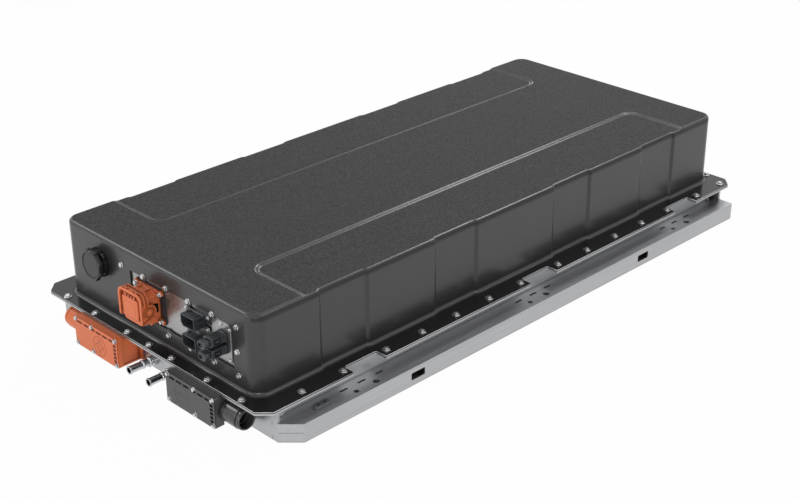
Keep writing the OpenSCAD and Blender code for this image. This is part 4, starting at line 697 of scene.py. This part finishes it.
def leverStrip():  # rows of the strip's section, each a list of (x, depth, z)
    thick, front, out = lever["thick"], lever["front"], lever["thick"] - lever["groove"]
    section = [(front, 0)]
    for start in lever["ribs"]:
        low, high = front + start, front + start + lever["ribWide"]
        section += [(low - 0.4, out), (low, thick), (high, thick), (high + 0.4, out)]
    section = section[:1] + section[2:-1] + [(section[-2][0], 0)]
    r, reach, top = lever["corner"] - thick, lever["half"] - thick, lever["top"] - thick
    line = [(reach, lever["foot"], 0)] + [(reach - r + r * math.cos(math.radians(a)),
        top - r + r * math.sin(math.radians(a)), a) for a in range(0, 91, 9)]
    line += [(-x, z, 180 - a) for x, z, a in reversed(line)]
    return [[(x + n * math.cos(math.radians(a)), y, z + n * math.sin(math.radians(a))) for y, n in section]
        for x, z, a in line]


def leverFoot(inset=0.0):  # outline of a leg round the pivot: (depth, z)
    front, back = lever["front"] + inset, lever["front"] + lever["ribs"][2] + lever["ribWide"] - inset
    high, lean = lever["foot"], lever["tipLean"]
    rise = math.degrees(math.acos(back / (lever["boss"] - inset)))
    return [(front, high)] + arc(*lever["tip"], lever["tipR"] - inset * 0.6, 180, 360 + lean, 8) \
        + arc(0, 0, lever["boss"] - inset, lean, rise, 18) + [(back, high)]


def makeLever():
    form, pivot = Form(), Matrix.Translation((disconnect["x"], disconnect["pivotY"], disconnect["z"]))
    rows = [form.row(row, pivot) for row in leverStrip()]
    form.skin(rows, True)
    form.mesh.faces.new(rows[0])
    form.mesh.faces.new(rows[-1][::-1])
    low = lever["top"] - lever["thick"] - 1
    for x, wide, lower in lever["grip"]:
        high = lever["top"] - lower
        form.prism(roundRect(wide, high - low, 1, 3, x, (high + low) / 2), 8, 19.2, pivot @ facing(0, 0, 0))
    inside, face, out = lever["leg"]
    for side, way in ((-1, "left"), (1, "right")):
        here = pivot @ facing(0, 0, 0, way)
        outer, inner = leverFoot(), leverFoot(lever["rim"])
        if side < 0:
            outer, inner = ([(-y, z) for y, z in reversed(line)] for line in (outer, inner))
        form.prism(outer, inside, face, here)
        form.skin([form.row([(y, z, high) for y, z in line], here) for line, high in
            ((outer, face - 0.2), (outer, out), (inner, out), (inner, face - 0.2))], False)
        for r, wide in lever["rings"]:
            form.lathe([(r - wide, face - 0.2), (r, face - 0.2), (r, out - 0.4), (r - 0.4, out),
                (r - wide + 0.4, out), (r - wide, out - 0.4)], here, 40, closed=True)
    form.done("disconnectLever", "orange_plastic", ["disconnect_lever"], body="lever", edge=0.35, steps=1)


disconnectFace = facing(disconnect["x"], 0, disconnect["z"])
makeBase(disconnectFace)
makePlug(disconnectFace)
makeGaps(disconnectFace)
makeLever()
print("disconnect made")


# High-voltage outlets: pockets in painted shade and a raised sign in a darker painted shade on each cover,
# and glands turned with rounded rings
outlets = {"wide": 152, "midZ": 35.2, "front": -767, "glandAt": (-735, 35), "screwsAlong": (7, 89, 145),
    "screwsZ": (7.2, 63.2), "signR": (21, 22), "signArm": 14, "signHalf": 4.2, "signRaised": 0.35,
    "gland": [(17.5, -5), (19, -5), (19, 0), (21.4, 0), (22, 0.8), (22, 8.2), (21.4, 9), (20, 9.2),
        (20, 11.2), (22.8, 11.4), (23.4, 12.2), (23.4, 44.6), (22.6, 46), (20.6, 46.4), (20.2, 47.8),
        (21.6, 48.2), (22, 49.4), (22, 53.2), (21.4, 55), (20, 56), (18.6, 56), (17.6, 55), (17.5, 44)],
    "pos": {"side": -1, "start": -74, "name": "positive", "node": "hv_pos_", "slot": "orange_plastic",
        "coat": None, "pocket": "orange_pocket_shade", "sign": "plusSign", "signAt": (-139, 29),
        "signCoat": "orange_sign_shade"},
    "neg": {"side": 1, "start": 87, "name": "negative", "node": "hv_neg_", "slot": "black_plastic",
        "coat": "gland_black", "pocket": "painted_shade_black", "sign": "minusSign", "signAt": (137, 33),
        "signCoat": "gland_black"}}


def makeSign(box):
    middle, high = box["signAt"]
    here = facing(middle, outlets["front"] + 0.1, high)
    (inR, outR), arm, half, raised = (outlets[k] for k in ("signR", "signArm", "signHalf", "signRaised"))
    form = Form().lathe([(inR, -0.1), (outR, -0.1), (outR, raised), (inR, raised)], here, 56, closed=True)
    line = [(arm, -half), (arm, half), (-arm, half), (-arm, -half)]
    if box["sign"] == "plusSign":
        line = [(half, -half), (arm, -half), (arm, half), (half, half), (half, arm), (-half, arm),
            (-half, half), (-arm, half), (-arm, -half), (-half, -half), (-half, -arm), (half, -arm)]
    inner = [(x - math.copysign(1.2, x), y - math.copysign(1.2, y)) for x, y in line]
    rows = [form.row([(x, y, h) for x, y in points], here) for points, h in
        ((line, -0.1), (line, raised), (inner, raised), (inner, -0.1))]
    form.skin(rows + rows[:1], True)
    # painted shade: each sign takes a darker coat than its cover, standing in for the shade along its raised
    # lines
    form.done(box["sign"], box["slot"], coat=box["signCoat"], edge=0.12, steps=1)


def makePockets(box):  # painted shade: thin dark sheets stand for the shade in the pockets along the cover's top and its right end
    here = facing(box["start"] + box["side"] * outlets["wide"] / 2, outlets["front"], outlets["midZ"])
    pockets = [roundRect(17, 4.4, 1, 3, (i - 2.5) * 22, 24) for i in range(6)] \
        + [roundRect(9, 5.6, 1, 3, outlets["wide"] / 2 - 10, i * 8.6 - 19) for i in range(5)]
    form = Form()
    for pocket in pockets:
        form.prism(pocket, 0.02, 0.2, here)
    form.done(box["name"] + "Pockets", "seal_rubber", coat=box["pocket"], smooth=False)


def makeGland(box):
    here = facing(box["start"] + box["side"] * outlets["wide"], *outlets["glandAt"],
        "right" if box["side"] > 0 else "left")
    form = Form().lathe(outlets["gland"], here, 72, closed=True)
    for i in range(3):  # the seal's ribs, deep in the bore
        deep, thin = 9 * i, 15.6 - i * 0.2
        form.lathe([(thin, 16 + deep), (17.6, 15 + deep), (17.6, 18 + deep), (thin, 17.4 + deep)], here, 56,
            closed=True)
    form.done(box["name"] + "Gland", box["slot"], [box["node"] + "gland"], coat=box["coat"])


def makeOutletScrews(box):
    form = Form()
    for along in outlets["screwsAlong"]:
        for z in outlets["screwsZ"]:
            screwHead(form, facing(box["start"] + box["side"] * along, -765.5, z), 7.5, 4.5, 5, 1.35, 9)
    form.done(box["name"] + "Screws", "zinc_steel", [box["node"] + "screws"])


for make in (makeSign, makePockets, makeGland, makeOutletScrews):
    make(outlets["pos"])
    make(outlets["neg"])
print("outlets made")


# Low-voltage headers: thin shrouds with rounded rims and a chamfered corner, on a root with four ears
def headerOutline(inset):
    a, b, c = header["wide"] / 2 - inset, header["high"] / 2 - inset, header["cut"] - inset * 0.6
    return rounded([(c - a, -b), (a, -b), (a, b), (-a, b), (-a, c - b)], 1.8 - inset * 0.5, 4)


def makeHeader(name, node, z):
    here, form, (earX, earZ) = facing(header["x"], 0, z), Form(), header["screws"]
    plate = roundRect(45, 29, 4)
    form.loft([(plate, 713.5), (plate, 717.5), (roundRect(44, 28, 3.5), 718.1)], here)
    for side in (-1, 1):
        form.prism(roundRect(38, 9, 4, 6, side * 19, 0), 713.5, 716.5, here)
        for v in (-1, 1):
            lean = 90 - side * 90
            ear = arc(side * earX, v * earZ, 4.4, lean - 90, lean + 90, 8) \
                + arc(side * 16, v * 10, 4.4, lean + 90, lean + 270, 4)
            form.prism(ear, 713.5, 717.5, here)
    form.loft([(headerOutline(inset), high) for inset, high in header["shroud"]], here)
    for x in (-12, 0, 12):
        form.prism(roundRect(2, 2.6, 0.4, 2, x, 9.6), 719.6, 739, here)
    for x in (-13, 13):
        form.prism(roundRect(1.6, 1.4, 0.4, 2, x, 13.1), 720, 733, here)
        form.prism(roundRect(1.4, 1.6, 0.4, 2, 20.9, x * 0.45), 720, 733, here)
    form.prism([(-18.5, -10.75), (18.5, -10.75), (18.5, 10.75), (-18.5, 10.75)], 691.6, 713.6, here)
    form.done(name, "black_plastic", [node], edge=0.3, steps=1)


def makePins():
    form = Form()
    for z in header["z"]:
        for i in range(8):
            for v in (-4, 4):
                x = (i - 3.5) * 4
                pin, tip = roundRect(1.3, 1.3, 0.2, 2, x, v), roundRect(0.5, 0.5, 0.1, 2, x, v)
                form.loft([(pin, 687.6), (pin, 726), (tip, 727.5)], facing(header["x"], 0, z))
    form.done("headerPins", "contact_brass", ["lv_pins"])


makeHeader("upperHeader", "lv_header_upper", header["z"][0])
makeHeader("lowerHeader", "lv_header_lower", header["z"][1])
makePins()


# Auxiliary plugs: a banded body, a latch in its window and a nose with a round port
auxPlug = {"x": 214, "bands": ((716.6, 722.5), (747, 754)), "portX": 211.4, "sideY": -739.5,
    "nose": [(-11, -8.6), (11, -8.6), (11, 8.6), (-11, 8.6)],
    "port": [(4.6, 769), (4.6, 770.1), (5, 770.5), (6.2, 770.5), (6.8, 769.8), (6.8, 769)],
    "wellShade": [(0, 769.3), (4.7, 769.3), (4.7, 769.7), (0, 769.7)]}


def makeAuxPlug(name, node, z):
    here, port = facing(auxPlug["x"], 0, z), facing(auxPlug["portX"], 0, z)
    right = facing(auxPlug["x"], auxPlug["sideY"], z, "right")
    form = Form()
    body, band, bandEdge = roundRect(22, 19, 3), roundRect(24, 21, 4), roundRect(23, 20, 3.6)
    form.loft([(body, 716.5), (body, 752.6), (roundRect(20, 17, 2.6), 753.4)], here)
    form.prism(roundRect(17, 13, 2), 753, 762, here)
    for low, high in auxPlug["bands"]:
        form.loft([(bandEdge, low), (band, low + 0.6), (band, high - 0.6), (bandEdge, high)], here)
    nose = rounded(auxPlug["nose"], 8.2, 8)
    small = [(x * 0.9, y * 0.88) for x, y in nose]
    form.loft([(small, 758.6), (nose, 759.6), (nose, 768.4), (small, 769.4)], here)
    form.lathe(auxPlug["port"], port, 32, closed=True)
    frames = [roundRect(17.6, 1.8, 0.5, 2, 0, v) for v in (-6.4, 6.4)] \
        + [roundRect(1.8, 14, 0.5, 2, y, 0) for y in (-8, 8)]
    for bar in frames:
        form.prism(bar, 10.6, 12, right)
    form.prism(roundRect(8, 5, 1, 2, -1, 0), 10.5, 12, right)
    form.prism(roundRect(3, 8, 1, 2, 3, 0), 10.5, 11.9, right)
    for x in (-6, 0, 6):
        form.prism(roundRect(1.6, 1, 0.3, 2, x, 9.9), 724, 746, here)
    form.done(name, "black_plastic", [node], edge=0.25, steps=1)
    # painted shade: a black disc in the port and a black sheet in the latch window stand for the shade
    # inside them
    dark = Form().lathe(auxPlug["wellShade"], port, 28)
    dark.prism(roundRect(14.8, 11.4, 0.5, 2, 0, 0), 11, 11.15, right)
    dark.done(name + "Recess", "seal_rubber", coat="painted_shade_black")


makeAuxPlug("upperPlug", "aux_plug_upper", 176)
makeAuxPlug("lowerPlug", "aux_plug_lower", 151)
Form().prism(rounded(auxPlate["bead"], 1.3, 4), 716.4, 718.3, facing(0, 0, 0)).done(
    "plateBead", "sheet_aluminium", edge=0.5)
print("connectors made")


# Weld lines where the rails meet the front beam, the caps in the beam's ends and dark discs of painted shade
# in the locating blocks' bores
seams = {"railX": 337, "beamY": 709.9, "lineZ": (5, 36), "run": ((352, -710), (387, -675)), "runZ": 20.4,
    "runHigh": 0.9, "lift": 0.12, "sunk": -0.1, "capAt": (-695, 55), "blockX": 361.5, "blockY": -609,
    "blockTop": 40.3, "boreR": 2.8, "boreApart": 7.75}


def makeSeams():
    lines, caps, bores = Form(), Form(), Form()
    high, lift, sunk = seams["runHigh"], seams["lift"], seams["sunk"]
    for side in (-1, 1):
        for z in seams["lineZ"]:
            lines.prism(roundRect(1.1, 9, 0.5, 2, side * seams["railX"], z), seams["beamY"],
                seams["beamY"] + 0.25, facing(0, 0, 0))
        a, b = (Vector((side * x, y, seams["runZ"])) for x, y in seams["run"])
        along = (b - a).normalized()
        out = Vector((along.y, -along.x, 0)) * side
        row = [lines.row([c + out * d + Vector((0, 0, h)) for c in (a + along * 1.5, b - along * 1.5)])
            for d, h in ((sunk, 0), (lift, 0), (lift, high), (sunk, high))]
        lines.skin(row + row[:1], False)
        way = facing(side * seams["railX"], *seams["capAt"], "right" if side > 0 else "left")
        cap = roundRect(27, 29, 1)
        caps.loft([(cap, 0.05), (cap, 0.6), (roundRect(26, 28, 1), 1)], way)
        # painted shade: a dark disc on each bore stands for the shade inside it
        for shift in (-seams["boreApart"], seams["boreApart"]):
            bores.prism(circle(seams["boreR"], 24), 0.02, 0.2,
                facing(side * seams["blockX"], seams["blockY"] + shift, seams["blockTop"], "up"))
    lines.done("weldSeams", "locator_grey", smooth=False)
    caps.done("beamEndCaps", "rail_aluminium")
    bores.done("locatorBoreShades", "seal_rubber", coat="painted_shade_black", smooth=False)


makeSeams()

view = {"place": (2.134409, -2.14229, 1.51939), "look": (-0.639606, 0.628634, -0.442407), "roll": -0.0056,
    "focalPixels": 1462.75, "frameWidth": 800, "sensor": 36, "far": 50}


def makeCamera():
    camera = bpy.data.cameras.new("camera")
    camera.sensor_width, camera.clip_end = view["sensor"], view["far"]
    camera.lens = view["sensor"] * view["focalPixels"] / view["frameWidth"]
    made = addObject("camera", camera)
    made.location = view["place"]
    made.rotation_mode = "QUATERNION"
    level = Vector(view["look"]).to_track_quat("-Z", "Y")
    made.rotation_quaternion = level @ Quaternion((0, 0, 1), view["roll"])
    bpy.context.scene.camera = made
    bpy.context.scene.view_settings.view_transform = "Standard"


# The studio: white wherever it is seen, plain soft light where it falls
studio = {"white": (1, 1, 1, 1), "skyLight": 0.3, "skySeen": 1.0, "floor": (0.9, 0.9, 0.9),
    "floorRough": 0.9, "floorHalf": 9000, "floorZ": -2, "floorSeen": 0.97}
lamps = {  # place, aim, size across the lamp's view and then up, power
    "keyBox": ((-2.3, -1.5, 2.3), (0, -0.2, 0.2), (1.4, 0.8), 20),
    "frontBox": ((-0.6, -3.0, 1.1), (0, -0.5, 0.15), (1.5, 0.8), 11),
    "backBox": ((-0.5, 2.2, 2.6), (0, 0.1, 0.2), (1.8, 0.8), 34),
    "rightBox": ((1.7, 0.0, 1.6), (0.25, 0.0, 0.2), (1.4, 0.6), 9),
    "lowBox": ((1.7, -2.3, 0.3), (0.3, -0.2, 0.12), (1.2, 0.45), 15),
    "farBox": ((-2.0, 2.3, 0.75), (0, 0.1, 0.24), (1.4, 0.35), 5)}


def makeWorld():
    world = bpy.data.worlds.new("studio")
    bpy.context.scene.world = world
    world.use_nodes = True
    sky = Nodes(world.node_tree)
    light = sky.tree.nodes["Background"]
    light.inputs["Color"].default_value = studio["white"]
    light.inputs["Strength"].default_value = studio["skyLight"]
    bright = sky.node("ShaderNodeBackground", {}, {"Color": studio["white"], "Strength": studio["skySeen"]})
    sky.show(sky.seen(), Wire(sky, light.outputs[0]), bright, "World Output")


def makeFloor():
    paint = Coat("floorPaint", colour=studio["floor"], rough=studio["floorRough"])
    glow = paint.node("ShaderNodeEmission", {}, {"Strength": 1.0})
    matt = Wire(paint, paint.shader.outputs[0])
    paint.show(paint.seen() * studio["floorSeen"], matt, glow, "Material Output")
    floor, half = Form(), studio["floorHalf"]
    floor.mesh.faces.new(floor.row([(x * half, y * half, studio["floorZ"]) for x, y in
        ((-1, -1), (1, -1), (1, 1), (-1, 1))]))
    floor.settle("floor", paint.material)


def makeLamp(name, spot, aim, size, power):
    light = bpy.data.lights.new(name, "AREA")
    light.shape, light.size, light.size_y, light.energy = "RECTANGLE", *size, power
    away = (Vector(spot) - Vector(aim)).normalized()
    across = Vector((0, 0, 1)).cross(away).normalized()
    turn = Matrix((across, away.cross(across), away)).transposed().to_4x4()
    addObject(name, light).matrix_world = Matrix.Translation(spot) @ turn


makeCamera()
makeWorld()
makeFloor()
for name, lamp in lamps.items():
    makeLamp(name, *lamp)
print("studio made")
